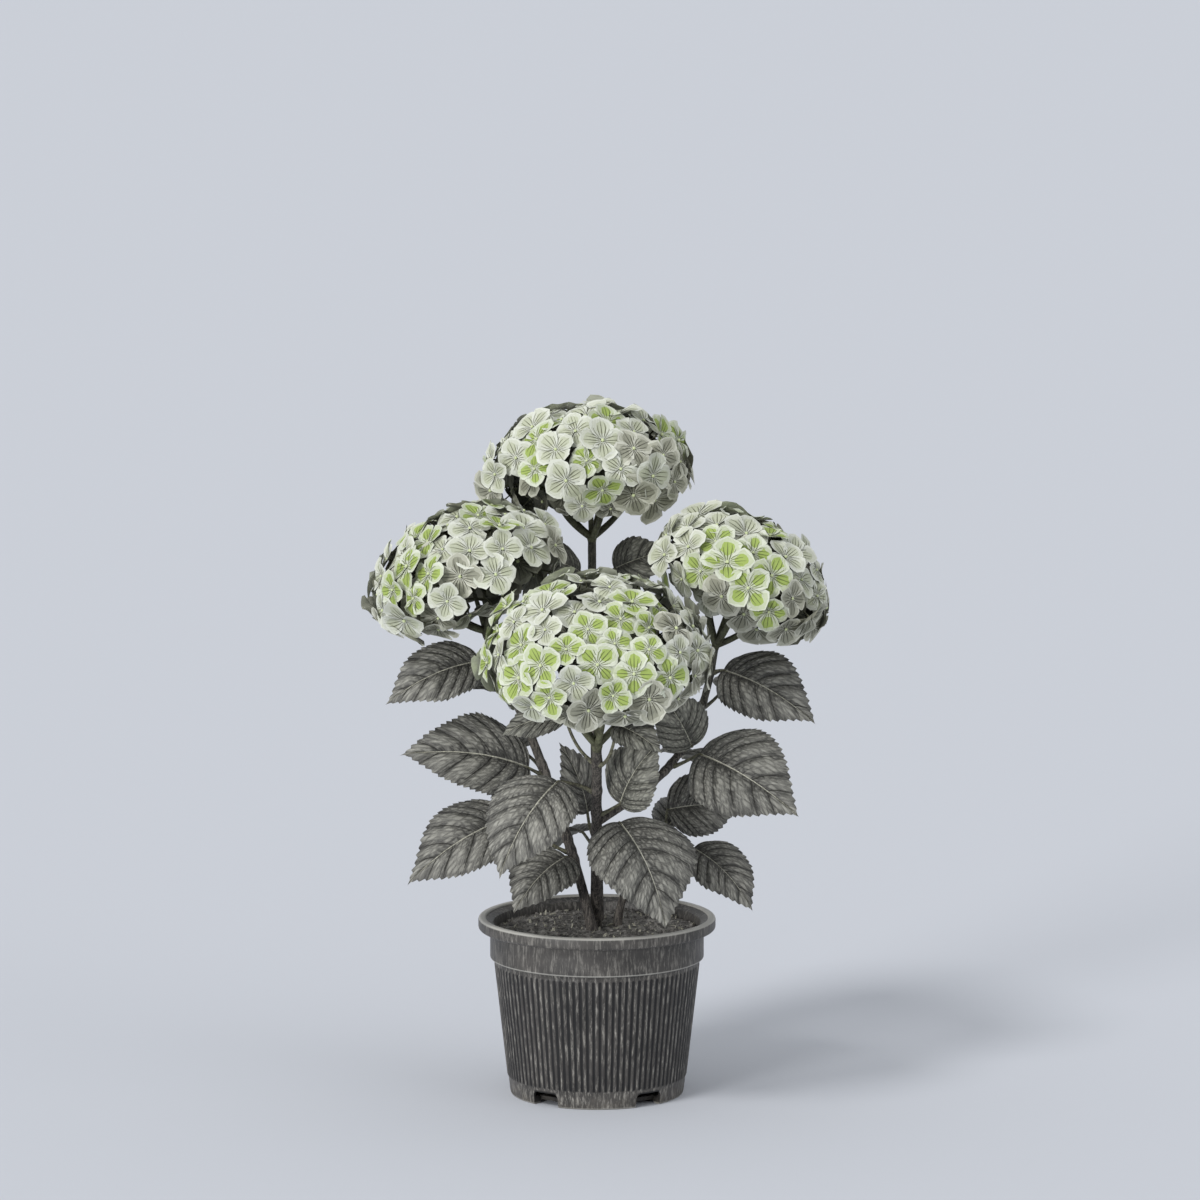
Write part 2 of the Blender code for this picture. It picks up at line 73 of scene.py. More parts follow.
SIDES_PER_RIB = 6
RIB_HEIGHT = 0.00095
RIB_FOOT = 0.0150
RIB_TOP = COLLAR_BOTTOM - 0.0035
RIB_FADE = 0.0025           # length over which a rib rises at its ends
RIB_STEPS = (0, 0.0012, 0.0025)     # rings of the wall at each end of the ribs, from that end
BODY_LEVELS = (0.034, 0.055, 0.077, 0.098)      # and between them
FOOT_LEVELS = (0.004, 0.0085, 0.011)
SOIL_TOP = 0.1510


class Socket:
    """One output of a node. Python's operators join it to Math nodes in the same tree."""

    def __init__(self, nodes, output):
        self.nodes = nodes
        self.output = output

    def __add__(self, other):
        return self.nodes.maths("ADD", self, other)

    def __sub__(self, other):
        return self.nodes.maths("SUBTRACT", self, other)

    def __rsub__(self, other):
        return self.nodes.maths("SUBTRACT", other, self)

    def __mul__(self, other):
        return self.nodes.maths("MULTIPLY", self, other)

    def __pow__(self, other):
        return self.nodes.maths("POWER", self, other)

    def __gt__(self, other):
        return self.nodes.maths("GREATER_THAN", self, other)

    __radd__ = __add__
    __rmul__ = __mul__


class Nodes:
    """A node tree in the making. Every node of a shader or a geometry tree comes from add()."""

    def __init__(self, tree):
        self.tree = tree

    def add(self, kind, settings=None, inputs=None, output=0):
        node = self.tree.nodes.new(kind)
        for name, value in (settings or {}).items():
            setattr(node, name, value)
        for key, value in (inputs or {}).items():
            self.feed(node.inputs[key], value)
        return Socket(self, node.outputs[output])

    def feed(self, socket, value):
        """Links a node's output to a socket, or sets the socket to a plain number or colour."""
        if isinstance(value, Socket):
            self.tree.links.new(value.output, socket)
        else:
            socket.default_value = (*value, 1) if socket.type == "RGBA" else value

    def maths(self, operation, *values):
        return self.add("ShaderNodeMath", {"operation": operation}, dict(enumerate(values)))

    def vector(self, operation, *values):
        return self.add("ShaderNodeVectorMath", {"operation": operation}, dict(enumerate(values)))

    def point(self, x=0.0, y=0.0, z=0.0):
        return self.add("ShaderNodeCombineXYZ", {}, {0: x, 1: y, 2: z})

    def parts(self, vector):
        """The x, y and z of a vector."""
        split = self.add("ShaderNodeSeparateXYZ", {}, {0: vector})
        return [Socket(self, output) for output in split.output.node.outputs]

    def step(self, value, low, high):
        """0 below low, 1 above high, smooth between; high may be the lower of the two."""
        return self.add("ShaderNodeMapRange", {"interpolation_type": "SMOOTHSTEP"},
                        {"Value": value, "From Min": low, "From Max": high})

    def noise(self, place, scale, detail=2.0, roughness=0.5):
        return self.add("ShaderNodeTexNoise", {"noise_dimensions": "3D"},
                        {"Vector": place, "Scale": scale, "Detail": detail, "Roughness": roughness})


class Look(Nodes):
    """A material: constants are set on its shader, and what changes over a surface is fed to it."""

    def __init__(self, name, colour, **constants):
        self.material = bpy.data.materials.new(name)
        self.material.use_nodes = True
        super().__init__(self.material.node_tree)
        self.set("Base Color", colour)
        for key, value in constants.items():
            self.set(key.replace("_", " ").title().replace("Ior", "IOR"), value)

    def set(self, key, value):
        self.feed(self.tree.nodes["Principled BSDF"].inputs[key], value)

    def place(self, stretch=(1, 1, 1)):
        """Object coordinates, in metres, stretched along an axis where its factor is small."""
        spot = self.add("ShaderNodeTexCoord", output="Object")
        return self.vector("MULTIPLY", spot, stretch)

    def attribute(self, name, output):
        return self.add("ShaderNodeAttribute", {"attribute_name": name}, output=output)

    def mix(self, share, first, second):
        """A colour between two colours; each is a plain colour or a socket."""
        return self.add("ShaderNodeMix", {"data_type": "RGBA"}, {0: share, 6: first, 7: second}, 2)

    def bump(self, height, depth, under=None):
        """Relief of this depth in metres, laid over another one if it is given."""
        below = {"Normal": under} if under else {}
        return self.add("ShaderNodeBump", {}, {"Strength": 1.0, "Distance": depth, "Height": height, **below})

    def finish(self, roughness, relief, colour=None):
        """Feeds the shader what changes over the surface, and gives the finished material."""
        if colour:
            self.set("Base Color", colour)
        self.set("Roughness", roughness)
        self.set("Normal", relief)
        return self.material


class Shape(Nodes):
    """A Geometry Nodes tree whose sizes are named inputs."""

    KINDS = {float: "NodeSocketFloat", int: "NodeSocketInt", bpy.types.Material: "NodeSocketMaterial",
             bpy.types.Object: "NodeSocketObject", bpy.types.Collection: "NodeSocketCollection"}

    def __init__(self, name, **sizes):
        super().__init__(bpy.data.node_groups.new(name, "GeometryNodeTree"))
        self.sizes = {}
        for way in ("INPUT", "OUTPUT"):
            self.tree.interface.new_socket("Geometry", in_out=way, socket_type="NodeSocketGeometry")
        for size, value in sizes.items():
            kind = next(self.KINDS[kind] for kind in self.KINDS if isinstance(value, kind))
            title = size.replace("_", " ").title()
            self.sizes[size] = self.tree.interface.new_socket(title, in_out="INPUT", socket_type=kind)
        self.defaults = sizes
        self.start = self.tree.nodes.new("NodeGroupInput")
        self.end = self.tree.nodes.new("NodeGroupOutput")
        self.geometry = Socket(self, self.start.outputs[0])

    def size(self, name):
        return Socket(self, self.start.outputs[self.sizes[name].name])

    def named(self, name, kind="FLOAT"):
        return self.add("GeometryNodeInputNamedAttribute", {"data_type": kind}, {"Name": name})

    def pushed(self, geometry, way, amount):
        """Every corner moved by this amount along this way."""
        offset = self.add("ShaderNodeVectorMath", {"operation": "SCALE"}, {0: way, "Scale": amount})
        return self.add("GeometryNodeSetPosition", {}, {"Geometry": geometry, "Offset": offset})

    def chosen(self, points, family, rotation, **inputs):
        """On each point one member of a family of shapes, turned; its index or its size if given."""
        members = self.add("GeometryNodeCollectionInfo", {}, {
            "Collection": self.size(family), "Separate Children": True, "Reset Children": True})
        return self.add("GeometryNodeInstanceOnPoints", {}, {
            "Points": points, "Instance": members, "Pick Instance": True, "Rotation": rotation,
            **{key.replace("_", " "): value for key, value in inputs.items()}})

    def finish(self, geometry, *looks):
        """Instances made real and materials set: each look is a material and the faces that take it."""
        made = self.add("GeometryNodeRealizeInstances", {}, {"Geometry": geometry})
        for material, faces in looks:
            made = self.add("GeometryNodeSetMaterial", {},
                            {"Geometry": made, "Selection": faces, "Material": material})
        self.feed(self.end.inputs[0], made)

    def run(self, item, **sizes):
        """The plain mesh that this tree makes of an object, which is then removed."""
        item = item if isinstance(item, bpy.types.Object) else bpy.data.objects.new("work", item)
        bpy.context.scene.collection.objects.link(item)
        modifier = item.modifiers.new(self.tree.name, "NODES")
        modifier.node_group = self.tree
        for size, value in {**self.defaults, **sizes}.items():
            modifier[self.sizes[size].identifier] = value
        bpy.context.view_layer.update()
        drawn = item.evaluated_get(bpy.context.evaluated_depsgraph_get())
        mesh = bpy.data.meshes.new_from_object(drawn)
        bpy.data.objects.remove(item)
        if mesh.materials[0] is None:
            mesh.materials.pop(index=0)
        return mesh


def plain_mesh(name, points, faces):
    mesh = bpy.data.meshes.new(name)
    mesh.from_pydata([tuple(point) for point in points], [], faces)
    return mesh


def turned(name, profile, sides):
    """Closed solid of revolution; the profile starts and ends on the axis."""
    points = [(0, 0, profile[0][1]), (0, 0, profile[-1][1])]
    for radius, height in profile[1:-1]:
        points += [(radius * math.cos(a), radius * math.sin(a), height)
                   for a in (math.tau * k / sides for k in range(sides))]
    faces = []
    rings = len(profile) - 2
    last = 2 + (rings - 1) * sides
    for side in range(sides):
        after = (side + 1) % sides
        faces.append((0, 2 + after, 2 + side))
        faces.append((1, last + side, last + after))
        for ring in range(rings - 1):
            a = 2 + ring * sides
            faces.append((a + side, a + after, a + sides + after, a + sides + side))
    return plain_mesh(name, points, faces)


def arc(centre_radius, centre_height, radius, first, last, steps):
    """Profile points on a round edge, angles in degrees from level outwards."""
    angles = [math.radians(first + (last - first) * k / steps) for k in range(steps + 1)]
    return [(centre_radius + radius * math.cos(a), centre_height + radius * math.sin(a)) for a in angles]


@contextmanager
def reworked(mesh):
    """A mesh opened for work on its corners and faces, and written back at the end."""
    work = bmesh.new()
    work.from_mesh(mesh)
    yield work
    work.to_mesh(mesh)
    work.free()


def placed(name, data):
    """An object of the scene that holds a mesh, a lamp or a lens."""
    thing = bpy.data.objects.new(name, data)
    bpy.context.scene.collection.objects.link(thing)
    return thing


def finished(name, mesh, node, sharp):
    """A finished piece that rides with the plant and replaces this node."""
    with reworked(mesh) as work:
        bmesh.ops.recalc_face_normals(work, faces=work.faces)
    mesh.shade_smooth()
    mesh.set_sharp_from_angle(angle=math.radians(sharp))
    mesh.name = name
    piece = placed(name, mesh)
    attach(piece, "root")
    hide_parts(node)


def pot_wall_radius(height):
    """Outside of the pot's sloping body at this height."""
    return BASE_RADIUS + (BODY_TOP_RADIUS - BASE_RADIUS) * height / COLLAR_BOTTOM


def inner_radius(height):
    """Inside of the pot's wall at this height."""
    if height > COLLAR_BOTTOM:
        return COLLAR_RADIUS - WALL - THROAT_STEP
    return pot_wall_radius(height) - WALL


def pot_profile():
    """From the middle of the underside, up the outside, over the lip and down to the floor."""
    lip_bottom = POT_HEIGHT - LIP_DEPTH
    ring_inside = BASE_RADIUS - RING_WIDTH
    throat = inner_radius(POT_HEIGHT)
    body = [*FOOT_LEVELS, *(RIB_FOOT + step for step in RIB_STEPS), *BODY_LEVELS,
            *(RIB_TOP - step for step in reversed(RIB_STEPS))]
    profile = [(0, 0), (PAD_RADIUS, 0), (PAD_RADIUS + 0.002, RECESS_DEPTH),
               (ring_inside, RECESS_DEPTH), (ring_inside + 0.0015, 0.0006), (ring_inside + 0.002, 0)]
    profile += arc(BASE_RADIUS - FOOT_ROUND, FOOT_ROUND, FOOT_ROUND, -90, -10, 4)
    profile += [(pot_wall_radius(height), height) for height in body]
    profile += [(BODY_TOP_RADIUS - 0.0002, COLLAR_BOTTOM - 0.0012), (BODY_TOP_RADIUS, COLLAR_BOTTOM - 0.0005)]
    profile += [(COLLAR_RADIUS - 0.0016, COLLAR_BOTTOM)]
    profile += arc(COLLAR_RADIUS - COLLAR_ROUND, COLLAR_BOTTOM + COLLAR_ROUND, COLLAR_ROUND, -80, 0, 4)
    profile += [(COLLAR_RADIUS, 0.1300), (COLLAR_RADIUS, 0.1395), (COLLAR_RADIUS, lip_bottom - 0.0010)]
    profile += [(COLLAR_RADIUS + 0.0006, lip_bottom - 0.0002), (LIP_RADIUS - 0.0022, lip_bottom + 0.0004)]
    profile += arc(LIP_RADIUS - LIP_ROUND, lip_bottom + LIP_ROUND, LIP_ROUND, -70, 0, 4)
    profile += arc(LIP_RADIUS - LIP_ROUND, POT_HEIGHT - LIP_ROUND, LIP_ROUND, 0, 90, 7)
    profile += arc(LIP_OPENING + OPENING_ROUND, POT_HEIGHT - OPENING_ROUND, OPENING_ROUND, 90, 180, 5)
    profile += [(throat + 0.0012, SOIL_TOP + 0.0040), (throat, SOIL_TOP), (throat, COLLAR_BOTTOM + 0.001),
                (inner_radius(COLLAR_BOTTOM), COLLAR_BOTTOM - 0.003),
                (inner_radius(FLOOR_TOP), FLOOR_TOP + 0.002),
                (inner_radius(FLOOR_TOP) - 0.002, FLOOR_TOP), (0, FLOOR_TOP)]
    return profile


def notch_cutter():
    """Block with rounded upper corners, the hole of one drain notch, looking along +X."""
    half, level = NOTCH_WIDTH / 2, NOTCH_HEIGHT - NOTCH_ROUND
    outline = [(-half, -0.001), (half, -0.001)]
    outline += arc(half - NOTCH_ROUND, level, NOTCH_ROUND, 0, 90, 5)
    outline += arc(NOTCH_ROUND - half, level, NOTCH_ROUND, 90, 180, 5)
    count = len(outline)
    outer = BASE_RADIUS + NOTCH_OUTSIDE
    points = [(x, y, z) for x in (outer - NOTCH_REACH, outer) for y, z in outline]
    faces = [tuple(range(count - 1, -1, -1)), tuple(range(count, 2 * count))]
    faces += [(k, (k + 1) % count, (k + 1) % count + count, k + count) for k in range(count)]
    return bpy.data.objects.new("notch_cutter", plain_mesh("notch_cutter", points, faces))


def pot_look():
    """Charcoal plastic: near black in the grooves between its ribs, painted shade; scuffed on the ribs,
    lighter along the collar's lower edge and round the foot, the top of the lip lightened as a painted
    highlight, dusty at the foot.
    """
    look = Look("pot_plastic", (0.05, 0.05, 0.05), specular_ior_level=0.35)
    place = look.place()
    rib = look.attribute("rib", "Fac")
    cloud = look.noise(place, 26, 4, 0.6)
    scuff = look.noise(look.place((1, 1, 0.16)), 420, 5, 0.75)
    grain = look.noise(place, 2400, 1)
    height = look.parts(place)[2]
    rim = look.step(height, POT_HEIGHT - 0.0026, POT_HEIGHT - 0.0006)
    collar = height - (COLLAR_BOTTOM + 0.0007)
    edge = look.step(look.maths("ABSOLUTE", collar), 0.0014, 0.0003) + look.step(height, 0.0024, 0.0008)
    dust = look.noise(place, 130, 5, 0.7) * 0.8 + look.step(height, 0.024, 0.0) * 0.30
    dust = look.step(dust, 0.52, 0.86)
    body = look.mix(look.step(cloud, 0.3, 0.7), (0.034, 0.032, 0.030), (0.068, 0.063, 0.058))
    worn = look.step(scuff, 0.46, 0.72) * (0.18 + 0.82 * rib)
    worn = worn * (1 - look.step(height, COLLAR_BOTTOM - 0.001, COLLAR_BOTTOM + 0.001) * 0.35)
    body = look.mix(worn * 0.75, body, (0.400, 0.380, 0.340))
    # Near black in the grooves between the ribs: painted shade.
    body = look.mix(look.step(rib, 0.80, 0.20) * 0.92, body, (0.004, 0.004, 0.005))
    # Lighter along the top of the lip, a painted highlight; lighter too along the collar's lower edge and
    # round the foot, and where scuffed.
    body = look.mix(look.step(rim + edge * 0.6 + scuff * 0.3, 0.25, 1.05), body, (0.400, 0.390, 0.355))
    body = look.mix(dust * 0.40, body, (0.120, 0.106, 0.086))
    roughness = 0.36 + 0.10 * cloud + 0.20 * dust + 0.08 * grain
    return look.finish(roughness, look.bump(scuff, 0.00012, look.bump(grain, 0.00006)), body)


def pot_tree():
    """Raises the ribs on the outer wall, and cuts the ring of drain notches out of the foot."""
    tree = Shape("ribbed pot", ribs=RIBS, rib_height=RIB_HEIGHT, rib_foot=RIB_FOOT, rib_top=RIB_TOP,
                 notches=NOTCHES, notch_turn=NOTCH_TURN, cutter=notch_cutter(), plastic=pot_look())
    place = tree.add("GeometryNodeInputPosition")
    x, y, z = tree.parts(place)
    radius = (x * x + y * y) ** 0.5
    around = tree.maths("ARCTAN2", y, x) * tree.size("ribs")
    wave = tree.maths("COSINE", around) * 0.5 + 0.5
    window = tree.step(z, tree.size("rib_foot"), tree.size("rib_foot") + RIB_FADE)
    window = window * tree.step(z, tree.size("rib_top"), tree.size("rib_top") - RIB_FADE)
    wall = pot_wall_radius(0) + z * ((BODY_TOP_RADIUS - BASE_RADIUS) / COLLAR_BOTTOM)
    outside = radius > wall - WALL / 2
    mark = 1 - (1 - wave) * window * outside
    marked = tree.add("GeometryNodeStoreNamedAttribute", {"data_type": "FLOAT", "domain": "POINT"},
                      {"Geometry": tree.geometry, "Name": "rib", "Value": mark})
    outward = tree.vector("NORMALIZE", tree.vector("MULTIPLY", place, (1, 1, 0)))
    ribbed = tree.pushed(marked, outward, wave * window * outside * tree.size("rib_height"))

    ring = tree.add("GeometryNodeMeshCircle", {}, {"Vertices": tree.size("notches"), "Radius": 0.001})
    facing = tree.add("FunctionNodeAlignRotationToVector", {"axis": "X", "pivot_axis": "Z"},
                      {"Vector": place})
    block = tree.add("GeometryNodeObjectInfo", {}, {"Object": tree.size("cutter")}, "Geometry")
    holes = tree.add("GeometryNodeInstanceOnPoints", {},
                     {"Points": ring, "Instance": block, "Rotation": facing})
    turn = tree.add("FunctionNodeEulerToRotation", {}, {0: tree.point(z=tree.size("notch_turn"))})
    holes = tree.add("GeometryNodeTransform", {}, {"Geometry": holes, "Rotation": turn})
    holes = tree.add("GeometryNodeRealizeInstances", {}, {"Geometry": holes})
    cut = tree.add("GeometryNodeMeshBoolean", {"operation": "DIFFERENCE", "solver": "EXACT"},
                   {"Mesh 1": ribbed, "Mesh 2": holes})
    tree.finish(cut, (tree.size("plastic"), True))
    return tree


pot_shell = pot_tree().run(turned("pot", pot_profile(), RIBS * SIDES_PER_RIB))
finished("pot_shell", pot_shell, "pot", sharp=42)

# ------------------------------------------------------------------ the soil
# Dark peat compost that fills the pot to 9 mm under its lip: a loose, lumpy bed with crumbs of peat
# and slivers of composted bark lying on it, drawn up a little round the foot of each cane.
SOIL_EDGE = 0.1475
SOIL_FLAT = 0.040
SOIL_GAP = 0.0003           # between the filling and the pot, and under each stem and leaf stalk
SOIL_RINGS = 64
SOIL_SIDES = 220
LUMP = 0.0026               # height of the bed's lumps
CRUMB_DENSITY = 52000.0     # crumbs for each square metre
BARK_DENSITY = 6500.0
CANE_FEET = {"front": (-0.001, -0.006), "left": (-0.004, -0.028),
             "top": (0.001, 0.014), "young": (0.018, -0.004)}
MOUND_REACH = 0.0085        # of the soil drawn up round a cane
MOUND_HEIGHT = 0.0022
BED_TOP = COLLAR_BOTTOM + 0.002     # above this level the bed's corners take its height
STREWN_FROM = COLLAR_BOTTOM + 0.010     # and above this one crumbs may lie on it


def soil_height(x, y):
    """The bed's surface: level in the middle, lower at the wall, lumpy all over."""
    radius = math.hypot(x, y)
    throat = inner_radius(POT_HEIGHT)
    slope = max(0.0, (radius - SOIL_FLAT) / (throat - SOIL_FLAT))
    spot = Vector((x, y, 0))
    lumps = noise.fractal(spot * 95, 0.9, 2.1, 5) + 0.5 * noise.noise(spot * 38)
    mound = sum(math.exp(-(math.hypot(x - fx, y - fy) / MOUND_REACH)**2) for fx, fy in CANE_FEET.values())
    return SOIL_TOP - slope * (SOIL_TOP - SOIL_EDGE) + LUMP * lumps * 0.6 + MOUND_HEIGHT * min(mound, 1)


def soil_bed():
    """Closed body of the compost: a fine top, plain sides against the wall and a flat underside."""
    bottom = max(FLOOR_TOP, NOTCH_HEIGHT) + SOIL_GAP
    throat = inner_radius(POT_HEIGHT) - SOIL_GAP
    profile = [(0, bottom), (inner_radius(bottom) - SOIL_GAP, bottom),
               (inner_radius(COLLAR_BOTTOM) - SOIL_GAP, COLLAR_BOTTOM - 0.003),
               (throat, COLLAR_BOTTOM + 0.001)]
    profile += [(throat * (1 - k / SOIL_RINGS), SOIL_TOP) for k in range(SOIL_RINGS)]
    profile.append((0, SOIL_TOP))
    bed = turned("soil_bed", profile, SOIL_SIDES)
    for vertex in bed.vertices:
        if vertex.co.z > BED_TOP:
            vertex.co.z = soil_height(vertex.co.x, vertex.co.y)
    return bed


def pebble(name, seed, stretch, rough):
    """A crumb of unit size: a coarse ball pushed out of round."""
    mesh = bpy.data.meshes.new(name)
    with reworked(mesh) as work:
        bmesh.ops.create_icosphere(work, subdivisions=1, radius=0.5)
        for vertex in work.verts:
            push = 1 + rough * noise.noise(vertex.co * 2.3 + Vector((seed * 7.1, 0, 0)))
            vertex.co = Vector(a * b for a, b in zip(vertex.co * push, stretch))
    return bpy.data.objects.new(name, mesh)


def family(name, members):
    """A collection of the shapes from which a tree picks its instances."""
    made = bpy.data.collections.new(name)
    for member in members:
        made.objects.link(member)
    return made


def scatter_tree(name, shapes, material, density, seed, smallest, largest):
    """Strews one family of shapes over the upward faces of a surface, and keeps only the shapes."""
    tree = Shape(name, shapes=shapes, density=density, seed=seed, smallest=smallest, largest=largest,
                 material=material)
    normal = tree.add("GeometryNodeInputNormal")
    height = tree.parts(tree.add("GeometryNodeInputPosition"))[2]
    upward = (tree.parts(normal)[2] > 0.3) * (height > STREWN_FROM)
    spread = tree.add("GeometryNodeDistributePointsOnFaces", {"distribute_method": "RANDOM"},
                      {"Mesh": tree.geometry, "Selection": upward, "Density": tree.size("density"),
                       "Seed": tree.size("seed")})
    spin = tree.add("FunctionNodeRandomValue", {"data_type": "FLOAT_VECTOR"},
                    {"Max": (math.tau, math.tau, math.tau), "Seed": tree.size("seed")})
    grade = tree.add("FunctionNodeRandomValue", {"data_type": "FLOAT"},
                     {2: 0.0, 3: 1.0, "Seed": tree.size("seed") + 1}, 1)
    scale = tree.size("smallest") + (tree.size("largest") - tree.size("smallest")) * grade ** 3.0
    turn = tree.add("FunctionNodeEulerToRotation", {}, {0: spin})
    tree.finish(tree.chosen(spread, "shapes", turn, Scale=scale), (tree.size("material"), True))
    return tree


def compost_look(name, dark, light, scale):
    """Moist peat: near black where it is wet, browner where it dries, with no gloss but a damp glint."""
    look = Look(name, dark, specular_ior_level=0.3)
    place = look.place()
    damp = look.noise(place, scale, 4, 0.65)
    fibre = look.noise(look.place((1, 1, 0.3)), 1500, 3, 0.7)
    colour = look.mix(look.step(damp * 0.7 + fibre * 0.4, 0.40, 0.75), dark, light)
    return look.finish(0.78 + 0.18 * fibre, look.bump(fibre, 0.0006, look.bump(damp, 0.0010)), colour)


peat = compost_look("potting_soil", (0.050, 0.047, 0.045), (0.430, 0.410, 0.375), 150)
sliver = compost_look("bark_sliver", (0.260, 0.248, 0.195), (0.700, 0.680, 0.560), 420)
bed = soil_bed()
bed.materials.append(peat)
STREWN = {                  # seeds of the tree and of its shapes, stretch, roughness, density, sizes
    "crumbs": (11, range(5), (1, 0.85, 0.7), 0.9, CRUMB_DENSITY, 0.0010, 0.0052, peat),
    "bark_slivers": (23, range(9, 13), (1, 0.36, 0.16), 0.7, BARK_DENSITY, 0.0030, 0.0100, sliver),
}
strewn = {}
for name, (seed, members, stretch, rough, density, smallest, largest, skin) in STREWN.items():
    shapes = family(name, [pebble(f"{name}_{k}", k, stretch, rough) for k in members])
    strewn[name] = scatter_tree(name, shapes, skin, density, seed, smallest, largest).run(bed.copy())
finished("soil_bed", bed, "soil", sharp=60)
for name, mesh in strewn.items():
    finished("soil_" + name, mesh, "soil", sharp=50)


# ------------------------------------------------------------------ the canes and the bough
# Woody stems two years old: grey-brown bark with fine upright cracks and pale pores, a swollen
# joint wherever a leaf is seated, and a flare where they come out of the soil.
SOIL_LINE = SOIL_TOP + SOIL_GAP
BOUGH_HEIGHT = 0.262
YOUNG_TIP = (0.058, -0.020, 0.238)
HEAD_TOP = 0.68
HEAD_UNDER = 0.42
CANE_SIDES = 36
CANE_STEP = 0.0016          # from one ring of a cane to the next
FOOT_FLARE = 0.25
FLARE_HEIGHT = 0.009
JOINT_SWELL = 0.20          # of a cane's radius, at a leaf's seat
JOINT_LENGTH = 0.0042
BARK_RELIEF = 0.00032
CRACKS = (620, 3, 0.6)      # scale, detail and roughness of the bark's cracks
UPRIGHT_GRAIN = (1, 1, 0.16)
SINK = 0.003                # how far a cane goes on into the soil


@dataclass
class Head:
    """A flower head, widest at `centre`; its axis leans by `lean` toward the compass angle `toward`."""
    centre: tuple
    radius: float
    lean: float
    toward: float
    stalk: float
    seed: int

    def axis(self):
        tip, side = math.radians(self.lean), math.radians(self.toward)
        return Vector((math.sin(tip) * math.cos(side), math.sin(tip) * math.sin(side), math.cos(tip)))

    def frame(self):
        turn = Vector((0, 0, 1)).rotation_difference(self.axis()).to_matrix().to_4x4()
        return Matrix.Translation(self.centre) @ turn

    def stem_way(self):
        return (self.axis() + Vector((0, 0, 1))).normalized()

    def foot(self):
        under = Vector(self.centre) - self.axis() * HEAD_UNDER * self.radius
        return under - self.stem_way() * self.stalk

    def level(self, point):
        """Below 1 inside the head's space, above 1 outside it."""
        local = self.frame().inverted() @ point
        depth = HEAD_TOP if local.z > 0 else HEAD_UNDER
        return Vector((local.x, local.y, local.z / depth)).length / self.radius


@dataclass
class Cane:
    """A stem that sets off along `start` and arrives along `finish`, tapering all the way."""
    foot: tuple
    start: tuple
    start_pull: float
    tip: tuple
    finish: tuple
    finish_pull: float
    foot_radius: float
    tip_radius: float

    def at(self, t):
        a, d = Vector(self.foot), Vector(self.tip)
        b = a + Vector(self.start).normalized() * self.start_pull
        c = d - Vector(self.finish).normalized() * self.finish_pull
        s = 1 - t
        return a * s**3 + b * (3 * s * s * t) + c * (3 * s * t * t) + d * t**3

    def radius(self, t):
        return self.foot_radius + (self.tip_radius - self.foot_radius) * t

    def share_at(self, height):
        low, high = 0.0, 1.0
        for _ in range(30):
            middle = (low + high) / 2
            if self.at(middle).z < height:
                low = middle
            else:
                high = middle
        return low


@dataclass
class Leaf:
    """A leaf on a cane: turns are compass angles, rise and pitch are degrees above level, and
    face is how many degrees the blade rolls to show its upper side to the front."""
    cane: str
    height: float
    turn: float
    length: float
    pitch: float
    stalk: float = 0.030
    rise: float = 25
    stalk_turn: float = None
    face: float = 0
    width: float = 0.62


HEADS = {
    "top": Head((-0.008, 0.075, 0.548), 0.094, 4, 180, 0.022, 3),
    "left": Head((-0.114, -0.028, 0.470), 0.090, 21, 190, 0.018, 5),
    "right": Head((0.128, 0.005, 0.462), 0.084, 27, 352, 0.032, 8),
    "front": Head((0.000, -0.137, 0.415), 0.101, 15, 270, 0.044, 13),
}

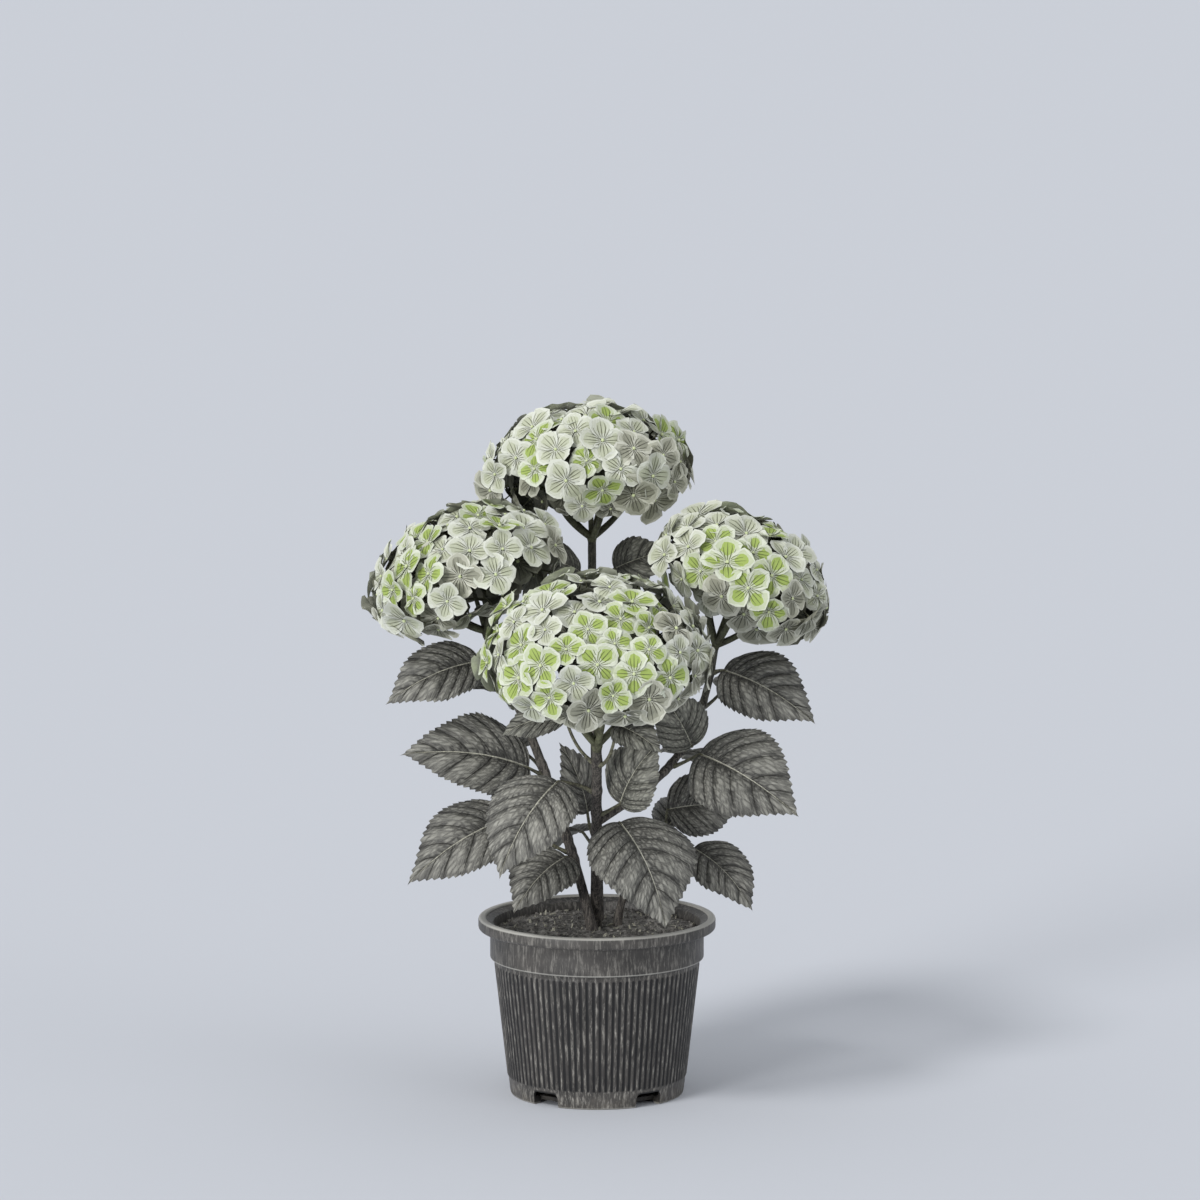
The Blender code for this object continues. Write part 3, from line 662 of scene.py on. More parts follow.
LEAVES = {
    "leaf_left_upper": Leaf("left", 0.394, 197, 0.094, -22, 0.014, 8, 195, 42, 0.66),
    "leaf_left_middle": Leaf("left", 0.294, 196, 0.120, 8, 0.014, 28, 210, 50, 0.68),
    "leaf_left_lower": Leaf("left", 0.224, 194, 0.112, -31, 0.058, 34, 187, 42, 0.66),
    "leaf_left_low": Leaf("left", 0.216, 221, 0.076, -36, 0.010, 30, 238, 20, 0.82),
    "leaf_front_left": Leaf("front", 0.290, 220, 0.104, -50, 0.031, 18, 189, 20, 0.80),
    "leaf_front_right": Leaf("front", 0.250, 311, 0.106, -55, 0.024, 28, 320, 10, 0.98),
    "leaf_right_low": Leaf("young", 0.218, 329, 0.080, -40, 0.044, 14, 339, 25, 0.72),
    "leaf_young_tip": Leaf("young", 0.236, 18, 0.068, -2, 0.024, 66, 60, 55, 0.90),
    "leaf_right_middle": Leaf("right", 0.305, 334, 0.108, -27, 0.025, 26, 356, 48, 0.82),
    "leaf_right_inner": Leaf("right", 0.316, 186, 0.060, 60, 0.014, 20, 300, 75, 0.85),
    "leaf_right_upper": Leaf("right", 0.380, 337, 0.098, -26, 0.008, 14, 352, 45, 0.72),
    "leaf_centre_upright": Leaf("front", 0.268, 344, 0.070, 57, 0.022, 30, 330, 65, 0.88),
    "leaf_centre_back": Leaf("top", 0.225, 191, 0.070, 68, 0.031, 61, 244, 70, 0.55),
    "leaf_under_front_right": Leaf("front", 0.318, 319, 0.056, -20, 0.044, 60, 309, 40),
    "leaf_under_front_left": Leaf("front", 0.319, 170, 0.060, -19, 0.046, 60, 176, 45),
    "leaf_top_right": Leaf("top", 0.445, 10, 0.054, 16, 0.027, 47, 330, 60, 0.80),
    "leaf_top_left": Leaf("top", 0.445, 198, 0.052, 15, 0.026, 44, 242, 50, 0.80),
    "leaf_back_right_upper": Leaf("top", 0.400, 60, 0.110, -10),
    "leaf_back_left_upper": Leaf("top", 0.395, 125, 0.110, -12),
    "leaf_back_left_high": Leaf("left", 0.350, 125, 0.100, -8),
    "leaf_back_right_high": Leaf("right", 0.352, 50, 0.095, -8),
    "leaf_back_middle": Leaf("top", 0.330, 88, 0.115, -15),
    "leaf_back_left_middle": Leaf("left", 0.300, 130, 0.110, -20),
    "leaf_back_left_lower": Leaf("left", 0.235, 125, 0.105, -30),
    "leaf_back_right_middle": Leaf("right", 0.300, 62, 0.105, -25),
    "leaf_back_right_lower": Leaf("young", 0.226, 60, 0.095, 5),
    "leaf_back_low_right": Leaf("top", 0.205, 65, 0.090, -22),
    "leaf_back_low_left": Leaf("top", 0.215, 115, 0.095, -25),
}


COURSES = {                 # start and its pull, finish and its pull, radius at the foot and at the tip
    "front": ((0, -0.45, 1), 0.060, (0, -0.55, 1), 0.060, 0.0049, 0.0042),
    "left": ((-0.2, 0.05, 1), 0.080, (-0.5, -0.05, 1), 0.070, 0.0044, 0.0036),
    "top": ((0, 0.1, 1), 0.100, (0, 0.2, 1), 0.100, 0.0048, 0.0037),
    "right": ((0.87, 0.1, 0.5), 0.075, (0.15, 0.15, 0.97), 0.080, 0.0036, 0.0032),
    "young": ((0.1, 0, 1), 0.035, (0.8, -0.3, 1), 0.035, 0.0036, 0.0026),
}


def canes():
    """The canes by name; each one's tip is the foot of the head that it carries."""
    made = {}
    for name, (start, start_pull, finish, finish_pull, *radii) in COURSES.items():
        if name in CANE_FEET:
            foot = (*CANE_FEET[name], SOIL_LINE)
        else:
            front = made["front"]
            fork = front.share_at(BOUGH_HEIGHT)
            foot = front.at(fork) + Vector((front.radius(fork) + SOIL_GAP, 0, 0))
        tip = HEADS[name].foot() if name in HEADS else YOUNG_TIP
        made[name] = Cane(foot, start, start_pull, tip, finish, finish_pull, *radii)
    return made


def stalk_tree():
    """Turns lines that carry a radius into round limbs, with a cracked relief along them."""
    tree = Shape("limb", sides=CANE_SIDES, relief=BARK_RELIEF, skin=bark_look())
    ring = tree.add("GeometryNodeCurvePrimitiveCircle", {}, {"Resolution": tree.size("sides"), "Radius": 1.0})
    limb = tree.add("GeometryNodeCurveToMesh", {},
                    {"Curve": tree.geometry, "Profile Curve": ring,
                     "Scale": tree.add("GeometryNodeInputRadius"), "Fill Caps": True})
    place = tree.add("GeometryNodeInputPosition")
    cracks = tree.noise(tree.vector("MULTIPLY", place, UPRIGHT_GRAIN), *CRACKS)
    knobs = tree.noise(place, 190, 2, 0.5)
    height = (cracks - 0.5) * 1.3 + (knobs - 0.5) * 1.2
    normal = tree.add("GeometryNodeInputNormal")
    tree.finish(tree.pushed(limb, normal, height * tree.size("relief")), (tree.size("skin"), True))
    return tree


def lines(name, paths):
    """Lines that carry a radius at each point: paths are lists of (point, radius)."""
    curve = bpy.data.curves.new(name, "CURVE")
    curve.dimensions = "3D"
    for path in paths:
        line = curve.splines.new("POLY")
        line.points.add(len(path) - 1)
        for spot, (place, radius) in zip(line.points, path):
            spot.co = (*place, 1)
            spot.radius = radius
    return curve


def cane_path(name, cane):
    """Rings of a cane: tapered, flared at the foot, swollen at each joint, run on into the soil."""
    length = sum((cane.at(k / 60) - cane.at((k + 1) / 60)).length for k in range(60))
    count = round(length / CANE_STEP)
    joints = [cane.at(cane.share_at(leaf.height)) for leaf in LEAVES.values() if leaf.cane == name]
    path = []
    for k in range(count + 1):
        t = k / count
        place = cane.at(t)
        swell = max([math.exp(-((place - joint).length / JOINT_LENGTH)**2) for joint in joints], default=0)
        flare = math.exp(-(place - cane.at(0)).length / FLARE_HEIGHT) * FOOT_FLARE
        path.append((place, cane.radius(t) * (1 + JOINT_SWELL * swell + flare)))
    (foot, radius), (above, _) = path[:2]
    return [(foot + (foot - above).normalized() * SINK, radius)] + path


def bark_look():
    """Bark: brown-grey, darker in its cracks, greener toward the young wood, with pale corky pores."""
    look = Look("cane_bark", (0.07, 0.055, 0.04), specular_ior_level=0.3)
    place = look.place()
    cracks = look.noise(look.place(UPRIGHT_GRAIN), *CRACKS)
    cloud = look.noise(place, 120, 3)
    pores = look.noise(look.place((1, 1, 0.6)), 1100, 0)
    height = look.parts(place)[2]
    green = look.step(height + cloud * 0.06, 0.30, 0.47)
    old = look.mix(look.step(cracks, 0.36, 0.66), (0.024, 0.021, 0.020), (0.125, 0.112, 0.098))
    young = look.mix(look.step(cracks, 0.30, 0.70), (0.034, 0.035, 0.028), (0.130, 0.130, 0.100))
    bark = look.mix(green * 0.75, old, young)
    bark = look.mix(look.step(pores, 0.66, 0.74) * 0.6, bark, (0.230, 0.205, 0.165))
    return look.finish(0.62 + 0.25 * cracks, look.bump(cracks, 0.0004, look.bump(pores, 0.0002)), bark)


limbs = canes()
stalks = stalk_tree()
for name, cane in limbs.items():
    node = "bough_right" if name == "right" else "cane_" + name
    limb = stalks.run(lines(name, [cane_path(name, cane)]))
    finished(node + "_bark", limb, node, sharp=70)

# ------------------------------------------------------------------ the leaves
# Ovate, saw-toothed blades on stout stalks: leathery, quilted between sunken side veins that arch
# forward to the edge, a muted grey-olive above and paler below. Each is seated on a cane's joint.
LEAF_ARCH = 0.13            # height of a blade's arch, of its length
LEAF_QUILT = 0.10           # fullness of each half of it
WIDEST = 0.37               # where it is widest, of its length
SHOULDER = 0.46             # the smaller, the rounder its base
DRIP_START = 5              # the larger, the later it draws in to its tip
DRIP_PINCH = 1.05           # the larger, the longer drawn out the tip is
PETIOLE_RADIUS = 0.0016
PETIOLE_FOOT = 1.55         # of its radius, where it clasps the cane
PETIOLE_SINK = 0.0012       # how far it goes into the bark
PETIOLE_STEP = 0.0018
PETIOLE_TAPER = 0.18
CLASP_LENGTH = 0.0035
VEINS = 7                   # on each side of a midrib
VEIN_LEAN = 0.45            # the smaller, the more the side veins lean forward
VEIN_STRIP = 0.0030         # half width of a vein's strip, of the blade's length
TOOTH_PITCH = 0.0060
TOOTH_HEIGHT = 0.0023
TOOTH = ((0.0, 0.0), (0.40, 0.60), (0.72, 1.0), (0.88, 0.35))   # place and height along it
COLUMNS = (0.0, 0.10, 0.24, 0.40, 0.56, 0.72, 0.87, 1.0)   # from the midrib to the edge
RIB_HALF = 0.0105           # half width of the midrib at its foot, of the length
PANEL_BULGE = 0.024         # rise of the blade between two side veins, of the length
GROOVE = 0.0026             # depth of a side vein under its edges, of the length
SHEET = 0.00034             # thickness of the blade
MIDRIB_DIP = 0.0016         # depth of the midrib's furrow in the upper face, of the length
MIDRIB_KEEL = 0.016         # height of the midrib under the blade, and of a side vein
VEIN_KEEL = 0.0055
WAVE = 0.016                # wave of the margin, of the length


def compass(turn, rise):
    turn, rise = math.radians(turn), math.radians(rise)
    level = math.cos(rise)
    return Vector((math.cos(turn) * level, math.sin(turn) * level, math.sin(rise)))


def blade_outline(share):
    """Half width of a pointed blade at this share of its length; 1 where it is widest."""
    taper = SHOULDER * (1 - WIDEST) / WIDEST
    peak = WIDEST**SHOULDER * (1 - WIDEST)**taper
    return share**SHOULDER * (1 - share)**taper * (1 - share**DRIP_START)**DRIP_PINCH / peak


def stalk_line(leaf, cane):
    """Where a leaf's stalk leaves the bark, which way is outward there, and the blade's base."""
    stalk_turn = leaf.turn if leaf.stalk_turn is None else leaf.stalk_turn
    share = cane.share_at(leaf.height)
    outward = compass(stalk_turn, 0)
    along_cane = (cane.at(min(share + 0.01, 1)) - cane.at(share)).normalized()
    outward = (outward - along_cane * outward.dot(along_cane)).normalized()
    start = cane.at(share) + outward * (cane.radius(share) + SOIL_GAP)
    return start, outward, start + compass(stalk_turn, leaf.rise) * leaf.stalk


def blade_rows(teeth):
    """Shares of the margin that get a row of corners, and which rows bound a vein's strip."""
    ends = [round((0.07 + 0.75 * v / (VEINS - 1)) * teeth) + TOOTH[2][0] for v in range(VEINS)]
    ends = [end / teeth for end in ends]
    rows = {(k + place) / teeth: level for k in range(teeth) for place, level in TOOTH}
    rows[0.0] = 0.0
    rows[1.0] = 0.0
    for end in ends:
        for side in (-1, 1):
            rows[end + side * VEIN_STRIP] = 0.75
    shares = np.array(sorted(rows))
    levels = np.array([rows[share] for share in shares])
    return shares, levels, np.array(ends)


def smooth(value, low, high):
    share = np.clip((value - low) / (high - low), 0, 1)
    return share * share * (3 - 2 * share)


def make_blade(leaf, base, chord, side, normal, rng):
    """Both faces of a blade as one closed sheet, with its relief, teeth and vein strips."""
    teeth = max(10, round(leaf.length * 1.15 / TOOTH_PITCH))
    margin, level, ends = blade_rows(teeth)
    half = (leaf.length * leaf.width / 2 * blade_outline(margin))[:, None]
    rib = RIB_HALF * leaf.length * (1 - 0.8 * margin[:, None])
    rib_share = np.minimum(0.4, rib / np.maximum(half, 1e-6))
    wide = np.concatenate([np.zeros_like(rib_share), rib_share + (1 - rib_share) * np.array(COLUMNS)], 1)
    seat = (margin ** (1 / VEIN_LEAN))[:, None]
    along = seat + (margin[:, None] - seat) * (0.55 * wide + 0.45 * wide**2)

    # Between each two side veins the blade rises, and it is grooved along them.
    bounds = np.concatenate([[0], ends, [1]])
    panel = np.interp(margin, bounds, np.arange(len(bounds)))
    crest = np.abs(np.sin(math.pi * panel)) ** 0.75
    size = np.interp(margin, bounds, np.gradient(bounds)) / np.gradient(bounds).max()
    fade = smooth(margin, 0.0, 0.05) * smooth(1 - margin, 0.0, 0.06)
    shape = (1 - (1 - wide)**3) * (1 - 0.55 * wide**5)
    strip = np.min(np.abs(margin[:, None] - ends), axis=1) < VEIN_STRIP * 0.5
    lift = LEAF_QUILT * half * 4 * wide * (1 - wide)
    lift = lift + leaf.length * PANEL_BULGE * (crest * size * fade)[:, None] * shape
    lift = lift - leaf.length * GROOVE * (strip * fade)[:, None] * (1 - wide**3)
    lift = lift - leaf.length * MIDRIB_DIP * fade[:, None] * (wide == 0)

    # The veins stand out on the underside, and the sheet thins to nothing at its edge.
    thick = SHEET * (1 - wide**6)
    thick = thick + leaf.length * VEIN_KEEL * strip[:, None] * (1 - 0.7 * wide) * (wide < 1)
    keel = leaf.length * MIDRIB_KEEL * (1 - 0.85 * margin[:, None])
    thick = thick + keel * np.clip(1 - wide / rib_share, 0, 1)
    thick = thick * (smooth(margin, 0, 0.01) * smooth(1 - margin, 0, 0.03))[:, None]

    points, faces, looks, marks = [], [], [], []
    rows, columns = wide.shape
    base, chord, side, normal = (np.array(v) for v in (base, chord, side, normal))
    for hand in (-1, 1):
        phase, count = rng.uniform(0, math.tau), rng.uniform(1.6, 2.6)
        wave = WAVE * leaf.length * np.sin(math.tau * margin * count + phase) * fade
        rise = lift + wave[:, None] * wide**2
        slope = LEAF_ARCH * 4 * (1 - 2 * along)
        up = normal - chord * slope[..., None]
        up = up / np.linalg.norm(up, axis=2, keepdims=True)
        place = base + chord * (leaf.length * along)[..., None]
        place = place + normal * (leaf.length * LEAF_ARCH * 4 * along * (1 - along))[..., None]
        place = place + side * (hand * half * wide)[..., None]
        reach = TOOTH_HEIGHT * (leaf.length / 0.1) ** 0.5 * level * smooth(margin, 0.05, 0.2)
        reach = reach * smooth(1 - margin, 0.01, 0.12)
        tooth = reach[:, None] * np.array([0.0] * (columns - 2) + [0.25, 1.0])
        place = place + (side * hand * 0.85 + chord * 0.55) * tooth[..., None]
        for under in (0, 1):
            grid = place + up * (rise - thick * under)[..., None]
            first = len(points)
            points += list(grid.reshape(-1, 3))
            spread = np.broadcast_to(panel[:, None] + 20 * hand, wide.shape)
            marks.append(np.stack([spread, half * wide, crest[:, None] * shape], 2).reshape(-1, 3))
            for i in range(rows - 1):
                vein = strip[i] or strip[i + 1]
                for j in range(columns - 1):
                    a = first + i * columns + j
                    faces.append((a, a + 1, a + columns + 1, a + columns))
                    rib = 2 if j == 0 else 3 if vein and j < columns - 2 else None
                    looks.append(under if rib is None else min(rib, 3 - under))
    mesh = plain_mesh("blade", points, faces)
    mesh.polygons.foreach_set("material_index", looks)
    blade = mesh.attributes.new("blade", "FLOAT_VECTOR", "POINT")
    blade.data.foreach_set("vector", np.concatenate(marks).astype(np.float32).ravel())
    return mesh


def bend(start, middle, end, steps):
    """Each share of a bend from start to end, drawn toward the middle, and its point."""
    for t in (k / steps for k in range(steps + 1)):
        yield t, start * (1 - t)**2 + middle * (2 * t * (1 - t)) + end * t * t


def petiole_path(leaf, start, outward, base, chord, normal):
    """The stalk from inside the bark to the blade, running on under the midrib as a tapering rib."""
    middle = start + outward * leaf.stalk * 0.35 + Vector((0, 0, leaf.stalk * 0.25))
    path = [(start - outward * PETIOLE_SINK, PETIOLE_RADIUS * PETIOLE_FOOT)]
    for t, spot in bend(start, middle, base, max(8, round(leaf.stalk / PETIOLE_STEP))):
        clasp = math.exp(-(spot - start).length / CLASP_LENGTH) * (PETIOLE_FOOT - 1)
        path.append((spot, PETIOLE_RADIUS * (1 - PETIOLE_TAPER * t + clasp)))
    for k in range(1, 9):
        t = 0.045 * k
        radius = PETIOLE_RADIUS * (1 - PETIOLE_TAPER) * (1 - t / 0.40)
        spot = base + chord * leaf.length * t + normal * leaf.length * LEAF_ARCH * 4 * t * (1 - t)
        path.append((spot - normal * (radius * 0.75 + SHEET), max(radius, 0.0003)))
    return path


def vein_net(look, panel, reach):
    """Distance to the nearest of the fine veins that run across between the side veins."""
    return look.add("ShaderNodeTexVoronoi", {"feature": "DISTANCE_TO_EDGE"},
                    {"Vector": look.point(panel, reach * 250.0), "Scale": 1.0, "Randomness": 0.8})


def streaked_look(name, plain, dark, light, shine, grain, contrast, roughness, relief):
    """A stalk, a rib or a furrow: fine streaks between two tones, rougher where they are light."""
    look = Look(name, plain, specular_ior_level=shine)
    streak = look.noise(look.place(), *grain)
    colour = look.mix(look.step(streak, *contrast), dark, light)
    return look.finish(roughness[0] + roughness[1] * streak, look.bump(streak, relief), colour)


def shaded(colour, share, more=0.0):
    return tuple(channel * share + more for channel in colour)


def leaf_looks(age_and_shade, dark, light, rib):
    """Upper face, underside, ribs and furrows of a leaf of one kind, mature, young or shaded; the upper face
    is lighter on its panels' crests and darker beside the veins, painted light and shade, and the furrows are
    near black, painted shade; the veins' net follows the blade.
    """
    upper = Look("leaf_" + age_and_shade, dark, specular_ior_level=0.42)
    panel, reach, crest = upper.parts(upper.attribute("blade", "Vector"))
    cloud = upper.noise(upper.place(), 75, 3, 0.6)
    grain = upper.noise(upper.place(), 1500, 2, 0.6)
    streak = upper.noise(upper.point(panel * 13.0, reach * 120.0), 1.0, 4, 0.7)
    pucker = upper.step(vein_net(upper, panel * 2.8 + cloud * 0.8, reach), 0.0, 0.34)
    # Lighter on the crests of the panels and darker beside the sunken veins: painted light and shade on the
    # quilting.
    tone = crest * 0.24 + streak * 0.66 + pucker * 0.22 + cloud * 0.24 + grain * 0.22
    upper.finish(0.42 + 0.20 * streak + 0.10 * grain,
                 upper.bump(pucker, 0.00055, upper.bump(streak, 0.00045)),
                 upper.mix(upper.step(tone, 0.46, 1.16), dark, light))

    pale = shaded(light, 0.6, 0.055)
    under = Look("leaf_underside_" + age_and_shade, pale, specular_ior_level=0.25)
    panel, reach, _ = under.parts(under.attribute("blade", "Vector"))
    cloud = under.noise(under.place(), 90, 3)
    ridge = under.step(vein_net(under, panel * 2.8, reach), 0.20, 0.0)
    under.finish(0.62 + 0.16 * cloud, under.bump(ridge, 0.00045),
                 under.mix(under.step(ridge * 0.6 + cloud * 0.6, 0.2, 0.9), shaded(pale, 0.72), pale))

    ribs = streaked_look("leaf_rib_" + age_and_shade, rib, shaded(rib, 0.55), rib, 0.35, (520, 3),
                         (0.35, 0.65), (0.48, 0.18), 0.00022)
    # Upper faces of the side veins' furrows, near black: painted shade in the grooves.
    furrow = streaked_look("leaf_furrow_" + age_and_shade, dark, dark, shaded(rib, 0.11), 0.3, (700, 3),
                           (0.35, 0.65), (0.50, 0.20), 0.0002)
    return upper.material, under.material, ribs, furrow


def make_leaf(name, leaf, cane, looks, seed):
    start, outward, base = stalk_line(leaf, cane)
    chord = compass(leaf.turn, leaf.pitch)
    side = chord.cross(Vector((0, 0, 1))).normalized()
    normal = side.cross(chord)
    roll = math.radians(leaf.face) * (1 if side.y < 0 else -1)
    side, normal = (side * math.cos(roll) - normal * math.sin(roll),
                    normal * math.cos(roll) + side * math.sin(roll))
    blade = make_blade(leaf, base, chord, side, normal, random.Random(seed))
    path = petiole_path(leaf, start, outward, base, chord, normal)
    petiole = stalks.run(lines(name, [path]), sides=12, relief=0.00010, skin=stalk_skin)
    with reworked(blade) as work:
        bmesh.ops.remove_doubles(work, verts=work.verts, dist=1e-6)
        blade_faces = len(work.faces)
        work.from_mesh(petiole)
        work.faces.ensure_lookup_table()
        for face in work.faces[blade_faces:]:
            face.material_index = len(looks)
    for look in (*looks, stalk_skin):
        blade.materials.append(look)
    finished(name.replace("leaf_", "foliage_"), blade, name, sharp=55)


AGES_AND_SHADE = {
    "mature": leaf_looks("mature", (0.022, 0.021, 0.019), (0.375, 0.367, 0.322), (0.560, 0.548, 0.460)),
    "young": leaf_looks("young", (0.027, 0.027, 0.023), (0.410, 0.406, 0.342), (0.560, 0.552, 0.450)),
    # A little darker all over: painted shade for the leaves low on the plant.
    "shaded": leaf_looks("shaded", (0.021, 0.020, 0.018), (0.350, 0.342, 0.300), (0.500, 0.489, 0.410)),
}
stalk_skin = streaked_look("leaf_stalk", (0.12, 0.12, 0.08), (0.052, 0.048, 0.032), (0.175, 0.172, 0.112),
                           0.35, (430, 4, 0.6), (0.34, 0.66), (0.50, 0.20), 0.00025)
for seed, (name, leaf) in enumerate(LEAVES.items(), 40):
    # Leaves low on the plant take the shaded colours, painted shade.
    age_and_shade = "shaded" if leaf.height < 0.24 else "young" if leaf.length < 0.075 else "mature"
    make_leaf(name, leaf, limbs[leaf.cane], AGES_AND_SHADE[age_and_shade], seed)

# ------------------------------------------------------------------ the flower heads
# Mophead blooms: a stem forks into a fan of rays that branch on to hair-thin stalks, and each of
# those ends in a floret of four papery sepals round a tiny closed flower. Fresh lime at their
# hearts, cream at their edges. Low down and on the side away from the key light they are greyer
# and darker, partly duller florets and partly painted shade; deep inside the head, painted shade.
SEPAL_STATIONS = (0.0, 0.10, 0.26, 0.44, 0.62, 0.79, 0.92, 1.0)   # along its edge
SEPAL_RINGS = ((1.0, 0), (0.78, 1), (0.48, 2))   # of its half width, and the tint inside
SEPAL_VEINS = ((-0.64, 0.52), (-0.33, 0.74), (0.0, 0.86), (0.33, 0.74), (0.64, 0.52))   # side, end
VEIN_HALF = 0.055           # half width of a vein, of the sepal's there
VEIN_RISE = 0.6             # over the sheet, of its thickness
VEIN_TINT = 3
SEPAL_BACK = ((1.0, 4), (0.5, 4))
SEPAL_HEART = 0.53          # middle of its rings, from the claw
SEPAL_SPINE = 0.22          # length of the spine in its middle, of the sepal's
SEPAL_CLAW = 0.05           # where a sepal starts, of the floret's radius
SEPAL_SHEET = 0.022         # thickness, of the radius
SEPAL_OVERLAP = 0.035       # rise of every other sepal, of the radius
EYE_RADIUS = 0.085
EYE_LEVEL = 0.055
FLORET_RADIUS = 0.0212
FLORET_SIZES = (0.76, 1.08)     # smallest and largest, of that
FLORET_TILT = 0.20
FLORET_SINK = (0.10, 0.42)      # how deep it sits in the dome, of its radius
FLORETS = 86                # on a head of TYPICAL_HEAD radius
INNER_FLORETS = 36
TYPICAL_HEAD = 0.094
INNER_LAYER = 0.83
LAST_FLORET = math.radians(142)
HEAD_ROOM = 1.03
FORMS = 7
FIVE_SEPALLED = 4           # the form that has a fifth sepal
RAYS = 5
FORK_HEIGHT = 0.006
FORK_SWELL = ((-0.25, 0.96), (0.2, 1.05), (0.6, 1.22), (1.0, 1.16), (1.5, 0.75))   # height, width
RAY_SPREAD = 0.36           # of the head's radius
RAY_END = 0.62              # level of the rays' ends and of the middle one's, of the underside
CROWN_END = 0.45
RAY_RADII = (0.0032, 0.0022)
CROWN_RADII = (0.0028, 0.0018)
BRANCH_RADII = (0.0015, 0.0010)
HAIR_RADII = (0.00075, 0.00055)
HAIR_TIP = 0.0010
HUBS = 17                   # where the rays branch for the last time
HUB_LEVEL = 0.52            # of the way out to the florets
SUNWARD = Vector((-0.40, -0.40, 0.78)).normalized()     # the key light's side: florets turned to it get the lit tints, painted light
LIT, HALF_LIT, SHADED = 0.36, 0.0, -0.40    # limits of how far a floret faces the light
FRESH = {"front": 0.62, "right": 0.42, "left": 0.34, "top": 0.34}   # share of lime florets in the sun
BANDS = {                   # a sepal's edge, its middle, its heart, its veins and its back
    "lime": ((0.590, 0.617, 0.506), (0.490, 0.532, 0.372), (0.315, 0.405, 0.105), (0.120, 0.145, 0.045),
             (0.450, 0.472, 0.365)),
    "cream": ((0.620, 0.634, 0.556), (0.545, 0.560, 0.466), (0.455, 0.476, 0.352), (0.130, 0.135, 0.085),
              (0.450, 0.462, 0.385)),
    # sage and dusky: greyer, darker copies for florets turned away from the key light, partly duller florets
    # and partly painted shade
    "sage": ((0.570, 0.570, 0.484), (0.425, 0.425, 0.344), (0.285, 0.286, 0.222), (0.078, 0.077, 0.055),
             (0.365, 0.367, 0.300)),
    "dusky": ((0.470, 0.472, 0.390), (0.330, 0.332, 0.262), (0.200, 0.202, 0.150), (0.066, 0.065, 0.046),
              (0.265, 0.267, 0.215)),
    # deep: near black, painted shade for the inner layer of florets
    "deep": ((0.165, 0.167, 0.130), (0.115, 0.117, 0.088), (0.080, 0.081, 0.060), (0.040, 0.040, 0.030),
             (0.090, 0.092, 0.070)),
}
KINDS = tuple(BANDS)
EYE_BAND = len(BANDS["lime"])


def sepal_look(name, colour):
    """Papery sepal: plain colour, veins that fan out along it, and a fine crinkle."""
    look = Look(name, colour, specular_ior_level=0.25)
    spread = look.add("ShaderNodeUVMap", {"uv_map": "sepal"})
    across, along, _ = look.parts(spread)
    vein = look.maths("COSINE", across * 24.0) * 0.5 + 0.5
    crinkle = look.noise(look.vector("MULTIPLY", spread, (5.0, 7.0, 1.0)), 1.0, 3, 0.6)
    relief = vein ** 5.0 * (1 - along * 0.5) * 0.6 + crinkle
    return look.finish(0.50 + 0.30 * crinkle, look.bump(relief, 0.00035))


